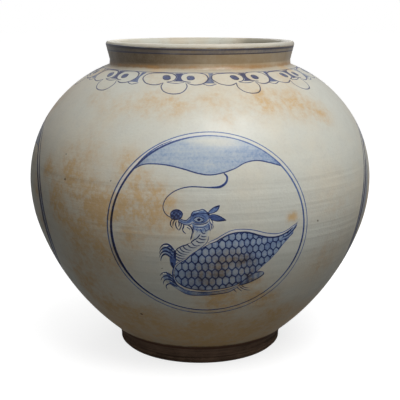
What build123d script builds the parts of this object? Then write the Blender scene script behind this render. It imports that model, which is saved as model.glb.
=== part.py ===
from build123d import *
import os
from math import acos, asin, atan, cos, degrees, radians, sin, sqrt, tan

# A large Korean storage jar of the moon-jar family, in millimetres.
# The axis is Z and the origin is the centre of the foot's resting plane.
# Two thrown bowls are luted rim to rim at the belly, a turned foot ring is luted under the
# lower bowl and a thrown collar round the shoulder's opening. Slip fills each seam, and a
# thin coat of glaze lies over the fired clay, apart from the foot.
# Every piece is first drawn as a section, with radius across and height up.

# ---- the glazed outside -------------------------------------------------------------------
belly_radius = 220.0
belly_height = 221.0          # height of the widest line, and of the seam between the bowls
total_height = 396.0
upper_fullness = 0.984        # first arc above the belly, against one arc up to the neck
upper_turn = 36.0             # and the degrees that it turns, before the shoulder's arc
lower_fullness = 0.75         # first arc below the belly, against one arc down to the foot
lower_turn = 19.0             # and the degrees that it turns, before the lower body's arc

# ---- walls, floor and coats ---------------------------------------------------------------
body_wall = 9.0
floor_thickness = 14.0
floor_corner = 85.0           # inside radius where the wall turns into the floor
glaze_coat = 0.5
slip_layer = 1.2

# ---- neck and lip -------------------------------------------------------------------------
neck_height = 28.3            # from where the neck's line meets the shoulder's to the lip's top
neck_base_radius = 114.0      # outside, at that meeting
neck_flare = 6.9              # how far the neck leans out over its height
neck_wall = 10.5
lip_flat = 1.3                # left between the lip's two rounds
lip_outer_round = 3.2         # the tighter one; the inner one takes up the rest of the wall
collar_fillet = 3.0           # hollow curve between shoulder and neck
throat_round = 14.0           # inside edge between shoulder and neck
collar_skirt = 9.0            # how far out from the neck the collar is luted to the bowl

# ---- seam between the two bowls -----------------------------------------------------------
rim_bevel = 3.0               # depth of the V that the two rims meet in
ridge_height = 18.0           # band of slip pressed over the seam inside the jar
ridge_proud = 2.0

# ---- foot ---------------------------------------------------------------------------------
foot_seam_radius = 111.0      # outside edge of the foot, where it meets the bowl
foot_seam_height = 22.1
foot_spread = 4.0             # how far the foot's wall spreads up towards the bowl
foot_bevel = 3.0
foot_rest_width = 13.0        # from the bevel to the inside edge, on the resting plane
foot_edge_round = 1.5
foot_draft = 3.0              # how far the ring's inside leans in towards its top
recess_depth = 12.0
recess_cove = 4.0             # slip smoothed into the corner under the bowl
glaze_line_rise = 4.0         # lower edge of the outside glaze, above the foot's seam
glaze_roll = 1.0              # bead that the glaze gathers into along that edge
bare_foot_height = 4.0        # the ring's inside is wiped bare up to here
groove_count = 2              # turning grooves round the foot
groove_start = 7.5            # height of the lowest
groove_step = 6.0
groove_radius = 2.2
groove_depth = 0.7

# ---- sizes worked out from the ones above -------------------------------------------------
overrun = 20.0                # how far a cutting outline runs past what it cuts
clay_top = total_height - glaze_coat
inner_inset = glaze_coat + body_wall
inner_radius = belly_radius - inner_inset
floor_top = recess_depth + floor_thickness
neck_base_height = total_height - neck_height
neck_lean = neck_flare / neck_height
lean_stretch = sqrt(1 + neck_lean**2)
throat_radius = neck_base_radius - neck_wall * lean_stretch
collar_seam_radius = neck_base_radius + collar_skirt
foot_radius = foot_seam_radius - foot_spread
foot_inner_radius = foot_radius - foot_bevel - foot_rest_width
glaze_line_height = foot_seam_height + glaze_line_rise


def region(*points):
    """A straight-sided face through these points."""
    return make_face(Polyline(*points, close=True))


def revolved(face):
    """Turn a section once round the jar's axis."""
    return revolve(Plane.XZ * face, Axis.Z, 360)


def corner_near(face, point):
    """The section's corner nearest to this point."""
    return face.vertices().sort_by_distance(Vector(*point, 0))[0]


# ---- the round body -----------------------------------------------------------------------
def tangent_arcs(end_radius, rise, fullness, turn_degrees):
    """Two tangent arcs from the belly, upright there, to a point this far above or below it.

    Returns the first arc's radius, the second's, and the second's centre as radius and rise.
    """
    across = belly_radius - end_radius
    first = fullness * (across**2 + rise**2) / (2 * across)
    turn = radians(turn_degrees)
    joint = Vector(belly_radius - first + first * cos(turn), first * sin(turn))
    inward = Vector(-cos(turn), -sin(turn))
    chord = Vector(end_radius, rise) - joint
    second = chord.dot(chord) / (2 * chord.dot(inward))
    centre = joint + inward * second
    return first, second, (centre.X, centre.Y)


upper_arc, shoulder_arc, shoulder_middle = tangent_arcs(
    neck_base_radius, neck_base_height - belly_height, upper_fullness, upper_turn
)
lower_arc, under_arc, under_middle = tangent_arcs(
    foot_seam_radius, belly_height - foot_seam_height, lower_fullness, lower_turn
)
shoulder_centre = (shoulder_middle[0], belly_height + shoulder_middle[1])
under_centre = (under_middle[0], belly_height - under_middle[1])


def shoulder_angle(radius):
    """Degrees above the belly's level at which the glazed shoulder has this radius."""
    return degrees(acos((radius - shoulder_centre[0]) / shoulder_arc))


def shoulder_point(radius, inset):
    """Point under the glazed shoulder's circle of this radius, inset along its normal."""
    turn = radians(shoulder_angle(radius))
    reach = shoulder_arc - inset
    return shoulder_centre[0] + reach * cos(turn), shoulder_centre[1] + reach * sin(turn)


def lower_body_radius(height, inset):
    """Radius of the lower body at this height, inset along its normal."""
    drop = under_centre[1] - height
    return under_centre[0] + sqrt((under_arc - inset) ** 2 - drop**2)


def lower_body_height(radius, inset):
    """Height of the lower body at this radius, inset along its normal."""
    across = radius - under_centre[0]
    return under_centre[1] - sqrt((under_arc - inset) ** 2 - across**2)


def round_body(inset, bottom):
    """The two bowls filled to the axis, inset along the normal, down to a flat bottom."""
    drop = degrees(asin((under_centre[1] - bottom) / (under_arc - inset)))
    rise = shoulder_angle(throat_radius - throat_round / 2)
    start = (belly_radius - inset, belly_height)
    upper = JernArc(start, (0, 1), upper_arc - inset, upper_turn)
    shoulder = JernArc(upper @ 1, upper % 1, shoulder_arc - inset, rise - upper_turn)
    lower = JernArc(start, (0, -1), lower_arc - inset, -lower_turn)
    under = JernArc(lower @ 1, lower % 1, under_arc - inset, lower_turn - drop)
    top = shoulder @ 1
    foot = under @ 1
    inside = Polyline((top.X, top.Y), (0, top.Y), (0, foot.Y), (foot.X, foot.Y))
    return make_face([upper, shoulder, lower, under, inside])


# ---- the neck -----------------------------------------------------------------------------
def neck_radius(height, inset):
    """Radius of the neck's leaning wall at this height, inset along its normal."""
    out = neck_lean * (height - neck_base_height)
    return neck_base_radius + out - inset * lean_stretch


sharp_edge = radians(90) - atan(neck_lean)     # the lip's angle outside, before its rounds
blunt_edge = radians(90) + atan(neck_lean)     # and inside
lip_outer_width = lip_outer_round / tan(sharp_edge / 2)
lip_inner_width = neck_wall * lean_stretch - lip_flat - lip_outer_width
lip_inner_round = lip_inner_width * tan(blunt_edge / 2)
crest_inset = glaze_coat + (lip_outer_width + lip_flat / 2) / lean_stretch


def neck_filled(inset, top):
    """The neck filled to the axis, from inside the shoulder to this height."""
    seat = neck_base_height - 2 * body_wall
    return region((0, seat), (neck_radius(seat, inset), seat), (neck_radius(top, inset), top), (0, top))


# ---- sections of the whole wall -----------------------------------------------------------
def hollow_section():
    """The space inside the clay: floor, round body, throat and neck."""
    bore = neck_filled(glaze_coat + neck_wall, clay_top + overrun)
    space = round_body(inner_inset, floor_top) + bore
    floor_edge = (lower_body_radius(floor_top, inner_inset), floor_top)
    space = fillet(corner_near(space, floor_edge), floor_corner)
    throat_edge = (throat_radius, shoulder_point(throat_radius, inner_inset)[1])
    space = fillet(corner_near(space, throat_edge), throat_round)
    ridge_arc = ((ridge_height / 2) ** 2 + ridge_proud**2) / (2 * ridge_proud)
    bulge = Pos(inner_radius - ridge_proud + ridge_arc, belly_height) * Circle(ridge_arc)
    return space - bulge, space & bulge


def wall_section(space):
    """The clay wall from the bowl's underside to the lip, before it is divided into pieces."""
    outside = round_body(glaze_coat, recess_depth) + neck_filled(glaze_coat, clay_top)
    neck_corner = (neck_base_radius, neck_base_height)
    outside = fillet(corner_near(outside, neck_corner), collar_fillet)
    wall = outside - space
    for inset, round_radius in ((glaze_coat, lip_outer_round), (glaze_coat + neck_wall, lip_inner_round)):
        wall = fillet(corner_near(wall, (neck_radius(clay_top, inset), clay_top)), round_radius)
    return wall


def waist_band(thickness):
    """The V-shaped layer between the two bowls' rims."""
    middle = (inner_radius + belly_radius) / 2
    inside, outside = inner_radius - overrun, belly_radius + overrun
    slope = 2 * rim_bevel / (body_wall + glaze_coat)
    rise = slope * (middle - inside) - rim_bevel
    low, high = belly_height - thickness / 2, belly_height + thickness / 2
    return region(
        (inside, low + rise), (middle, low - rim_bevel), (outside, low + rise),
        (outside, high + rise), (middle, high - rim_bevel), (inside, high + rise),
    )


def collar_band(thickness):
    """The layer square to the wall between the upper bowl's opening and the collar."""
    outer = Vector(*shoulder_point(collar_seam_radius, -overrun))
    inner = Vector(*shoulder_point(collar_seam_radius, overrun))
    along = (outer - inner).normalized()
    side = Vector(-along.Y, along.X) * (thickness / 2)
    corners = (outer + side, inner + side, inner - side, outer - side)
    return region(*((corner.X, corner.Y) for corner in corners))


# ---- the foot -----------------------------------------------------------------------------
foot_top = lower_body_height(foot_seam_radius, glaze_coat)
foot_arc = (foot_spread**2 + (foot_top - foot_bevel) ** 2) / (2 * foot_spread)


def foot_wall_radius(height):
    """Radius of the foot's outside at this height, where it spreads up towards the bowl."""
    return foot_radius + foot_arc - sqrt(foot_arc**2 - (height - foot_bevel) ** 2)


def recess_section(corner):
    """The space under the bowl inside the foot ring, drawn on both sides of the axis."""
    top = foot_inner_radius - foot_draft
    space = region(
        (-foot_inner_radius, 0), (foot_inner_radius, 0), (top, recess_depth), (-top, recess_depth)
    )
    if corner:
        space = fillet([corner_near(space, (x, recess_depth)) for x in (-top, top)], corner)
    return space


def foot_outline():
    """The foot ring's section, run up into the bowl that it will be cut to fit."""
    side = TangentArc((foot_radius, foot_bevel), (foot_seam_radius, foot_top), tangent=(0, 1))
    rest = Polyline(
        (foot_seam_radius, foot_top),
        (foot_inner_radius - foot_draft, foot_top),
        (foot_inner_radius - foot_draft, recess_depth),
        (foot_inner_radius, 0),
        (foot_radius - foot_bevel, 0),
        (foot_radius, foot_bevel),
    )
    ring = make_face([side, rest])
    ring = fillet(corner_near(ring, (foot_inner_radius, 0)), foot_edge_round)
    for height in (groove_start + groove_step * number for number in range(groove_count)):
        across = foot_wall_radius(height) + groove_radius - groove_depth
        ring -= Pos(across, height) * Circle(groove_radius)
    return ring


# ---- the pieces ---------------------------------------------------------------------------
def jar_sections():
    """Every piece of the jar as a section, by name."""
    space, ridge = hollow_section()
    wall = wall_section(space)
    past_axis = region((-belly_radius, 0), (0, 0), (0, total_height), (-belly_radius, total_height))

    # the two bowls, the collar and the slip between them
    waist, collar = waist_band(slip_layer), collar_band(slip_layer)
    bowls = (wall - ridge - waist - collar).faces().sort_by(Axis.Y)
    pieces = {"lower_bowl": bowls[0], "upper_bowl": bowls[1], "neck_collar": bowls[2]}
    pieces["waist_slip"] = (wall & waist) + ridge
    pieces["neck_slip"] = wall & collar

    # the foot, cut to the bowl's underside with room for its slip
    ring = foot_outline()
    seat = offset(wall, slip_layer, kind=Kind.ARC)
    recess = recess_section(recess_cove)
    cove = recess_section(0) - recess - past_axis
    pieces["foot_ring"] = ring - seat
    pieces["foot_slip"] = (ring & (seat - wall)) + (cove - ring)

    # the coats of glaze
    skin = offset(wall, glaze_coat, kind=Kind.ARC) - wall - past_axis
    core = round_body(inner_inset - body_wall / 2, floor_top - floor_thickness / 2)
    core += neck_filled(crest_inset, total_height + overrun)
    core_corner = (neck_base_radius - crest_inset, neck_base_height - body_wall / 2)
    core = fillet(corner_near(core, core_corner), (throat_round + collar_fillet) / 2)
    bare = region((0, -overrun), (belly_radius, -overrun),
                  (belly_radius, glaze_line_height), (0, glaze_line_height))
    line_radius = lower_body_radius(glaze_line_height, glaze_coat)
    roll = Pos(line_radius, glaze_line_height) * Circle(glaze_roll)
    pieces["outer_glaze"] = (skin - core - bare) + (roll - wall)
    pieces["inner_glaze"] = skin & core
    wiped = region((0, bare_foot_height), (belly_radius, bare_foot_height),
                   (belly_radius, recess_depth), (0, recess_depth))
    pieces["base_glaze"] = (recess - offset(recess, -glaze_coat, kind=Kind.ARC)) & wiped
    return pieces


os.makedirs("parts", exist_ok=True)
for name, section in jar_sections().items():
    export_step(revolved(section), f"parts/{name}.step")
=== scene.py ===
# %% [markdown]
# # A painted storage jar
# The jar is a big round pot on a turned foot: two thrown bowls luted rim to rim, a collar for a
# neck, a thin coat of glaze, and blue painting under the glaze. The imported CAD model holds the
# clay, the slip and the glaze as solids. This lesson dresses it: it makes the glaze as a smooth
# skin, paints it with strokes of cobalt, and gives every piece its finish.

from math import atan, cos, degrees, pi, radians, sin, sqrt

import bpy
import numpy as np
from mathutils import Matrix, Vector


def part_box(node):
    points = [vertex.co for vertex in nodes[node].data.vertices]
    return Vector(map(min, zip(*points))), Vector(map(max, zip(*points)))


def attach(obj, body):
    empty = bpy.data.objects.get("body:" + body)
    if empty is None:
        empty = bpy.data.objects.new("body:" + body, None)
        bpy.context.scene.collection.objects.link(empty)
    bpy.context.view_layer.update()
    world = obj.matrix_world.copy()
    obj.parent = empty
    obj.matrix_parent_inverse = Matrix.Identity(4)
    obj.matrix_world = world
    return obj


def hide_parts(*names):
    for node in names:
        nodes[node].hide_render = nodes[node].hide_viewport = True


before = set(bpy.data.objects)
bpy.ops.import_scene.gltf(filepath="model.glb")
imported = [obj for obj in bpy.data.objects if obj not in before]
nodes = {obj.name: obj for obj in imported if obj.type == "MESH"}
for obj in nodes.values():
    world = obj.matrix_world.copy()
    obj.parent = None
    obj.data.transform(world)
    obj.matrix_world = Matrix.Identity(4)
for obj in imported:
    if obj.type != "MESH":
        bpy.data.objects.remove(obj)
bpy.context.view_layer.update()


# %% [markdown]
# ## The camera
# The photograph was taken from the front and a little above the belly, with a long lens. A camera
# model was fitted to the jar's outline, which gives the place, the tilt and the focal length. The
# same numbers are used below to lay a point of the photograph on the jar. A camera set by eye would
# do for a picture, but strokes laid through it would then miss their places.

# %% Camera at the photograph's viewing angle
PHOTO_SIDE = 400
FOCAL_PIXELS = 862.4
EYE = np.array((0.0, -1.1195, 0.4367))
TILT = 0.2194

camera = bpy.data.cameras.new("photo_camera")
camera.sensor_fit = "HORIZONTAL"
camera.sensor_width = 36.0
camera.lens = camera.sensor_width * FOCAL_PIXELS / PHOTO_SIDE
camera.clip_end = 60.0
camera_object = bpy.data.objects.new("photo_camera", camera)
camera_object.location = EYE
camera_object.rotation_euler = (pi / 2 - TILT, 0.0, 0.0)
bpy.context.scene.collection.objects.link(camera_object)
bpy.context.scene.camera = camera_object
bpy.context.scene.view_settings.view_transform = "Standard"
print("lens in millimetres:", round(camera.lens, 1))

# %% [markdown]
# ## The jar's outline
# A pot made of two bowls is a family of arcs that run into each other without a corner. Each bowl
# has two: a tighter one at the belly and a flatter one beyond it. A curve traced off the
# photograph could stand in for them, but arcs from the CAD model's own sizes, in millimetres, keep
# the skin on the glaze solid.

# %% Sizes of the jar in millimetres
MILLIMETRE = 0.001
belly_radius, belly_height, total_height = 220.0, 221.0, 396.0
neck_base_radius, neck_height, neck_flare = 114.0, 28.3, 6.9
neck_base_height = total_height - neck_height
neck_lean = neck_flare / neck_height
upper_fullness, upper_turn = 0.984, 36.0
lower_fullness, lower_turn = 0.75, 19.0
foot_seam_radius, foot_seam_height = 111.0, 22.1
collar_fillet, lip_outer_round, lip_flat = 3.0, 3.2, 1.3
glaze_coat, glaze_roll, glaze_line_rise = 0.5, 1.0, 4.0
glaze_line_height = foot_seam_height + glaze_line_rise


def tangent_arcs(end_radius, rise, fullness, turn):
    """First arc's radius, second arc's radius and its centre, for a bowl that is upright at the
    belly and ends at this radius, this far above or below it."""
    across = belly_radius - end_radius
    first = fullness * (across**2 + rise**2) / (2 * across)
    joint = np.array((belly_radius - first + first * cos(turn), first * sin(turn)))
    inward = np.array((-cos(turn), -sin(turn)))
    chord = np.array((end_radius, rise)) - joint
    second = chord @ chord / (2 * chord @ inward)
    return first, second, joint + inward * second


upper_arc, shoulder_arc, shoulder_centre = tangent_arcs(
    neck_base_radius, neck_base_height - belly_height, upper_fullness, radians(upper_turn)
)
lower_arc, under_arc, under_centre = tangent_arcs(
    foot_seam_radius, belly_height - foot_seam_height, lower_fullness, radians(lower_turn)
)
shoulder_centre = shoulder_centre + (0, belly_height)
under_centre = np.array((under_centre[0], belly_height - under_centre[1]))
print("arcs:", round(lower_arc), round(under_arc), round(upper_arc), round(shoulder_arc))

# %% The outline as one run of points from the foot to the lip
def arc_points(centre, radius, start, end, step):
    """Points on a circle from one angle to another, in degrees, about one step apart."""
    count = max(2, int(round(radius * radians(abs(end - start)) / step)))
    angles = np.radians(np.linspace(start, end, count + 1))
    return np.stack((centre[0] + radius * np.cos(angles), centre[1] + radius * np.sin(angles)), 1)


def angle_at(centre, point):
    """Direction of a point as seen from a centre, in degrees."""
    return degrees(np.arctan2(point[1] - centre[1], point[0] - centre[0]))


def under_angle(height, inset):
    """Angle on the under arc at this height, inset along its normal."""
    return degrees(np.arcsin((height - under_centre[1]) / (under_arc - inset)))


def fillet_centre():
    """Centre of the hollow curve at the neck's base: as far from the shoulder as from the neck."""
    hollow = collar_fillet - glaze_coat
    reach = shoulder_arc + hollow
    at_zero = neck_base_radius + hollow * sqrt(1 + neck_lean**2) - shoulder_centre[0]
    drop = neck_base_height - shoulder_centre[1]
    a, b = 1 + neck_lean**2, 2 * (neck_lean * at_zero + drop)
    rise = (-b + sqrt(b * b - 4 * a * (at_zero**2 + drop**2 - reach**2))) / (2 * a)
    return np.array((shoulder_centre[0] + at_zero + neck_lean * rise, neck_base_height + rise))


def outline():
    """Points of the glaze's roll over the foot, the lower and the upper bowl, the hollow, the
    neck and the lip up to its crest, in millimetres. All are arcs but the straight neck."""
    body_step, fine_step, roll_step = 3.2, 0.6, 0.3
    roll_back, neck_steps = 88, 8
    roll_angle = under_angle(glaze_line_height, glaze_coat)
    clay_reach = under_arc - glaze_coat
    roll_centre = (under_centre[0] + clay_reach * cos(radians(roll_angle)), glaze_line_height)
    leave = 90 - degrees(np.arcsin(glaze_coat / glaze_roll))
    roll = arc_points(roll_centre, glaze_roll, roll_angle - roll_back, roll_angle + leave, roll_step)
    start = angle_at(under_centre, roll[-1])
    under = arc_points(under_centre, under_arc, start, -lower_turn, body_step)
    belly = (belly_radius - lower_arc, belly_height)
    lower = arc_points(belly, lower_arc, -lower_turn, 0, body_step)
    belly = (belly_radius - upper_arc, belly_height)
    upper = arc_points(belly, upper_arc, 0, upper_turn, body_step)
    hollow_centre = fillet_centre()
    meet = angle_at(shoulder_centre, hollow_centre)
    shoulder = arc_points(shoulder_centre, shoulder_arc, upper_turn, meet, body_step)
    lean = degrees(atan(neck_lean))
    hollow = arc_points(hollow_centre, collar_fillet - glaze_coat, meet + 180, 180 - lean, fine_step)
    lip_reach = lip_outer_round + glaze_coat
    lip_height = total_height - lip_reach
    lip_radius = neck_base_radius + neck_lean * (lip_height - neck_base_height)
    lip_centre = (lip_radius - lip_reach * sqrt(1 + neck_lean**2), lip_height)
    lip = arc_points(lip_centre, lip_reach, -lean, 90, fine_step)
    crest = np.array([(lip_centre[0] - lip_flat / 2, total_height)])
    neck_start, neck_end = hollow[-1], lip[0]
    share = np.linspace(0, 1, neck_steps + 1)[1:-1, None]
    neck = neck_start + (neck_end - neck_start) * share
    parts = [roll, under[1:], lower[1:], upper[1:], shoulder[1:], hollow[1:], neck, lip, crest]
    return np.concatenate(parts)


wall = outline() * MILLIMETRE
wall_radius, wall_height = wall.T
wall_run = np.concatenate(([0.0], np.cumsum(np.linalg.norm(np.diff(wall, axis=0), axis=1))))
slope = np.gradient(wall, wall_run, axis=0)
slope /= np.linalg.norm(slope, axis=1, keepdims=True)
# The outline's normal: its direction turned by a right angle, away from the axis
wall_out, wall_up = slope[:, 1], -slope[:, 0]
low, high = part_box("outer_glaze")
print("rows:", len(wall), "length of the outline:", round(wall_run[-1], 4))
print("widest:", wall_radius.max(), high.x, "top:", wall_height.max(), high.z, "foot:", low.z)

# %% [markdown]
# ## Where a point of the glaze is
# Everything painted on the jar uses the same two numbers: the turn round the axis, from the front,
# and the run up the outline. One function turns them into a place, lifted off the glaze or sunk
# into it. It also holds the thrower's faint rings, which rise in a spiral as the wall is pulled up.
# A modifier could press flat strokes on the jar, but one formula for all keeps paint and skin
# together. The skin lies a hair under the glaze solid's face, so that paint stays in its box.

# %% From turn and run to a place on the glaze
SKIN_SINK = 0.08 * MILLIMETRE
RING_DEPTH = 0.05 * MILLIMETRE
RING_PITCH = 13.0 * MILLIMETRE
ring_start, ring_end = 0.03, wall_run[-1] - 0.05


def throwing_rings(turn, run):
    """Depth of the rings: two spiral waves of nearly the same pitch, so that they come and go,
    faded out near the foot and the lip. It is never negative, so the jar doesn't grow."""
    steps = 2 * pi * run / RING_PITCH
    wave = np.sin(steps + turn) + 0.6 * np.sin(1.37 * steps - 2 * turn + 1.0)
    fade = np.clip((run - ring_start) / 0.03, 0, 1) * np.clip((ring_end - run) / 0.03, 0, 1)
    return RING_DEPTH * fade * (1.6 + wave) / 3.2


def glaze_point(turn, run, lift):
    """The outline's point at this run, moved along its normal, then turned about the axis."""
    radius = np.interp(run, wall_run, wall_radius)
    height = np.interp(run, wall_run, wall_height)
    out = np.interp(run, wall_run, wall_out)
    up = np.interp(run, wall_run, wall_up)
    off = lift - SKIN_SINK - throwing_rings(turn, run)
    radius, height = radius + off * out, height + off * up
    return np.stack((radius * np.sin(turn), -radius * np.cos(turn), height), -1)

# %% [markdown]
# ## A skin of glaze
# The coat of glaze is a closed skin: an outer side, an inner side almost half a millimetre under
# it, and the two joined at the lip's crest and at the rolled edge over the foot. The CAD solid
# could be painted as it is, but it has no texture map. The skin's map unrolls the jar like a
# label, so that a baked picture of it keeps its detail.

# %% Build the glaze skin
SKIN_COLUMNS, INNER_ROWS = 360, 56
BACK_SHARE, LABEL_START = 0.08, 0.1


def new_piece(name, points, faces, corners):
    """A smooth mesh in the jar's one body, with a point of its flat map for each corner of its
    faces, in the faces' order."""
    mesh = bpy.data.meshes.new(name)
    mesh.from_pydata(points, [], faces)
    mesh.uv_layers.new(name="OFBake").data.foreach_set("uv", corners.ravel())
    mesh.shade_smooth()
    piece = bpy.data.objects.new(name, mesh)
    bpy.context.scene.collection.objects.link(piece)
    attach(piece, "root")
    return piece


def closed_skin(name, columns):
    """Rows of points up the outer side, down the inner side and round again, for every column.
    The map is the turn across and the run up: the outer side fills most of it, and the inner
    side lies in a strip below."""
    turn = np.linspace(-pi, pi, columns, endpoint=False)
    inner_run = np.linspace(wall_run[-1], 0, INNER_ROWS)
    run = np.concatenate((wall_run, inner_run))
    depth = SKIN_SINK - glaze_coat * MILLIMETRE
    lift = np.concatenate((np.zeros(len(wall_run)), np.full(INNER_ROWS, depth)))
    turns, runs = np.meshgrid(turn, run, indexing="ij")
    points = glaze_point(turns, runs, lift)
    rows = len(run)
    index = np.arange(columns * rows).reshape(columns, rows)
    beside, above = np.roll(index, -1, axis=0), np.roll(index, -1, axis=1)
    corner = np.roll(beside, -1, axis=1)
    faces = np.stack((index, beside, corner, above), -1).reshape(-1, 4)
    label = (1 - LABEL_START) * wall_run / wall_run[-1] + LABEL_START
    back = BACK_SHARE * inner_run / wall_run[-1]
    across = np.linspace(0, 1, columns + 1)
    along = np.concatenate((label, back))
    left, right = np.repeat(across[:-1], rows), np.repeat(across[1:], rows)
    foot = np.tile(along, columns)
    top = np.tile(np.concatenate((along[1:], along[-1:])), columns)
    corners = np.stack((left, foot, right, foot, right, top, left, top), -1)
    return new_piece(name, points.reshape(-1, 3), faces, corners)


skin = closed_skin("glaze_skin", SKIN_COLUMNS)
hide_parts("outer_glaze")
print("glaze skin:", len(skin.data.vertices), "points,", 2 * len(skin.data.polygons), "triangles")

# %% [markdown]
# ## From the photograph to the jar
# The painting is drawn with strokes whose points are read off the photograph, in its
# pixels. A point is laid on the jar where the camera's ray through that pixel first meets the
# outline turned about the axis. The strokes could be measured in millimetres on the jar instead,
# but this way the drawing keeps the place and the foreshortening that it has in the photograph.

# %% Lay pixels on the jar
NEAREST, FARTHEST, RAY_STEPS = 0.85, 1.25, 500


def on_jar(pixels):
    """Turn and run where each pixel's ray meets the jar: the ray is cut into short steps, the
    first step inside the outline is found, and the crossing within it by proportion."""
    pixels = np.asarray(pixels, float)
    flat = pixels.reshape(-1, 2) - PHOTO_SIDE / 2
    ahead = np.array((0.0, cos(TILT), -sin(TILT)))
    above = np.array((0.0, sin(TILT), cos(TILT)))
    rays = ahead + flat[:, :1] / FOCAL_PIXELS * np.array((1.0, 0, 0))
    rays = rays - flat[:, 1:] / FOCAL_PIXELS * above
    reach = np.linspace(NEAREST, FARTHEST, RAY_STEPS)
    points = EYE + rays[:, None] * reach[:, None]
    wall_there = np.interp(points[..., 2], front_height, front_radius)
    away = np.hypot(points[..., 0], points[..., 1]) - wall_there
    first = np.argmax(away < 0, axis=1).clip(1)
    pick = np.arange(len(flat))
    outside, inside = away[pick, first - 1], away[pick, first]
    share = (outside / (outside - inside)).clip(0, 1)
    hit = points[pick, first - 1] + (points[pick, first] - points[pick, first - 1]) * share[:, None]
    turn = np.arctan2(hit[:, 0], -hit[:, 1])
    run = np.interp(hit[:, 2], front_height, front_run)
    return turn.reshape(pixels.shape[:-1]), run.reshape(pixels.shape[:-1])


rising = np.concatenate(([True], np.diff(np.maximum.accumulate(wall_height)) > 0))
front_height, front_radius, front_run = wall_height[rising], wall_radius[rising], wall_run[rising]
middle_turn, middle_run = on_jar([(206.0, 222.0)])
print("middle of the roundel: turn", degrees(middle_turn[0]), "height",
      np.interp(middle_run[0], wall_run, wall_height))

# %% A smooth line through a few points
LINE_STEP = 0.8


def smooth_line(points):
    """Cubic curve through three or more points: at each one it runs as the points around it do,
    and it is cut into steps of about a pixel or less."""
    points = np.asarray(points, float)
    along = np.concatenate(([0.0], np.cumsum(np.linalg.norm(np.diff(points, axis=0), axis=1))))
    going = np.gradient(points, along, axis=0)
    place = np.linspace(0, along[-1], max(6, int(along[-1] / LINE_STEP)))
    k = np.clip(np.searchsorted(along, place) - 1, 0, len(points) - 2)
    span = (along[k + 1] - along[k])[:, None]
    t = (place[:, None] - along[k][:, None]) / span
    return ((2 * t**3 - 3 * t**2 + 1) * points[k] + (t**3 - 2 * t**2 + t) * span * going[k]
            + (3 * t**2 - 2 * t**3) * points[k + 1] + (t**3 - t**2) * span * going[k + 1])


def even_points(points, count):
    """The smooth line through the points, as this many points spread evenly along it."""
    line = smooth_line(points)
    share = np.linspace(0, 1, len(line))
    wanted = np.linspace(0, 1, count)
    return np.stack([np.interp(wanted, share, line[:, k]) for k in (0, 1)], 1)

# %% [markdown]
# ## Strokes and washes
# Cobalt is brushed on the raw clay and sinks under the glaze. Here each stroke or wash is a very
# thin closed layer: its top stands a few hundredths of a millimetre over the glaze, its underside
# is sunk in it. One picture wrapped round the jar could hold all the blue, but strokes can be drawn,
# moved and repeated one by one. An attribute called ink says how strong the blue is at each point.
# At the edges it fades to nothing, where the layer has exactly the glaze's own colour.

# %% One thin layer of paint
TOP_LIFT, COAT_LIFT, UNDER_LIFT = 0.035 * MILLIMETRE, 0.02 * MILLIMETRE, -0.2 * MILLIMETRE


def paint_layer(turn, run, ink, edge, coat=0, closed=False):
    """A grid of turn and run becomes a closed layer. Its columns go across the stroke: the top
    ones as given, then three underneath on the way back. They run in the order that makes the
    faces look outwards. Edge is one in the middle of the stroke and zero at its borders, and
    lifts the top. Coats lie on one another."""
    level = turn * np.interp(run, wall_run, wall_radius)
    along_level, across_level = np.gradient(level)
    along_run, across_run = np.gradient(run)
    if np.sum(along_level * across_run - along_run * across_level) < 0:
        turn, run, ink, edge = (values[:, ::-1] for values in (turn, run, ink, edge))
    last = turn.shape[1] - 1
    back = np.array((last, last // 2, 0))
    lift = (TOP_LIFT + coat * COAT_LIFT) * edge
    lift = np.concatenate((lift, np.full((len(turn), 3), UNDER_LIFT)), 1)
    turn, run, ink = (np.concatenate((values, values[:, back]), 1) for values in (turn, run, ink))
    return turn, run, ink, lift, last, closed

# %% Brush strokes and washes
PIXEL_SIZE = 1.18 * MILLIMETRE
WOBBLE = 0.12
# Where the five columns of a stroke lie across it, how much ink each holds, and how much of its
# whole breadth looks inked
ACROSS = np.array((-1.0, -0.72, 0.0, 0.72, 1.0))
FADE = np.array((0.0, 0.9, 1.0, 0.9, 0.0))
INKED_SHARE = 0.86


def brush(pixels, width, ink, taper=(0.25, 0.15), coat=1, blunt=0.25):
    """A stroke along a smooth line. Its width, in pixels of the photograph, swells from both
    ends over the two taper shares of its length, never under the blunt share of its width."""
    line = smooth_line(pixels)
    turn, run = on_jar(line)
    share = np.linspace(0, 1, len(line))
    swell = np.minimum(share / taper[0], 1) * np.minimum((1 - share) / taper[1], 1)
    swell = blunt + (1 - blunt) * np.sin(0.5 * pi * swell)
    swell = swell * (1 + WOBBLE * np.sin(9 * share + 0.13 * line[0, 0]))
    return stroke(turn, run, PIXEL_SIZE * width * swell, np.full(len(line), ink), coat)


def stroke(turn, run, width, ink, coat=1, closed=False):
    """A band along a line on the jar: the line is carried sideways, square to itself, to five
    columns, and the outer two hold no ink."""
    radius = np.interp(run, wall_run, wall_radius)
    if closed:
        going_turn = (np.roll(turn, -1) - np.roll(turn, 1) + pi) % (2 * pi) - pi
        going_run = np.roll(run, -1) - np.roll(run, 1)
    else:
        going_turn, going_run = np.gradient(turn), np.gradient(run)
    going = np.stack((going_turn * radius, going_run), 1)
    going /= np.linalg.norm(going, axis=1, keepdims=True)
    half = 0.5 * width[:, None] * ACROSS / INKED_SHARE
    turns = turn[:, None] - half * going[:, 1:] / radius[:, None]
    runs = run[:, None] + half * going[:, :1]
    edge = np.broadcast_to((ACROSS**2 < 1).astype(float), turns.shape)
    return paint_layer(turns, runs, ink[:, None] * FADE, edge, coat, closed)


def inside_edge(share, columns):
    """One on every column but the first and the last, where it is zero."""
    return np.clip(np.minimum(share, 1 - share) * (columns - 1), 0, 1)


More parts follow.
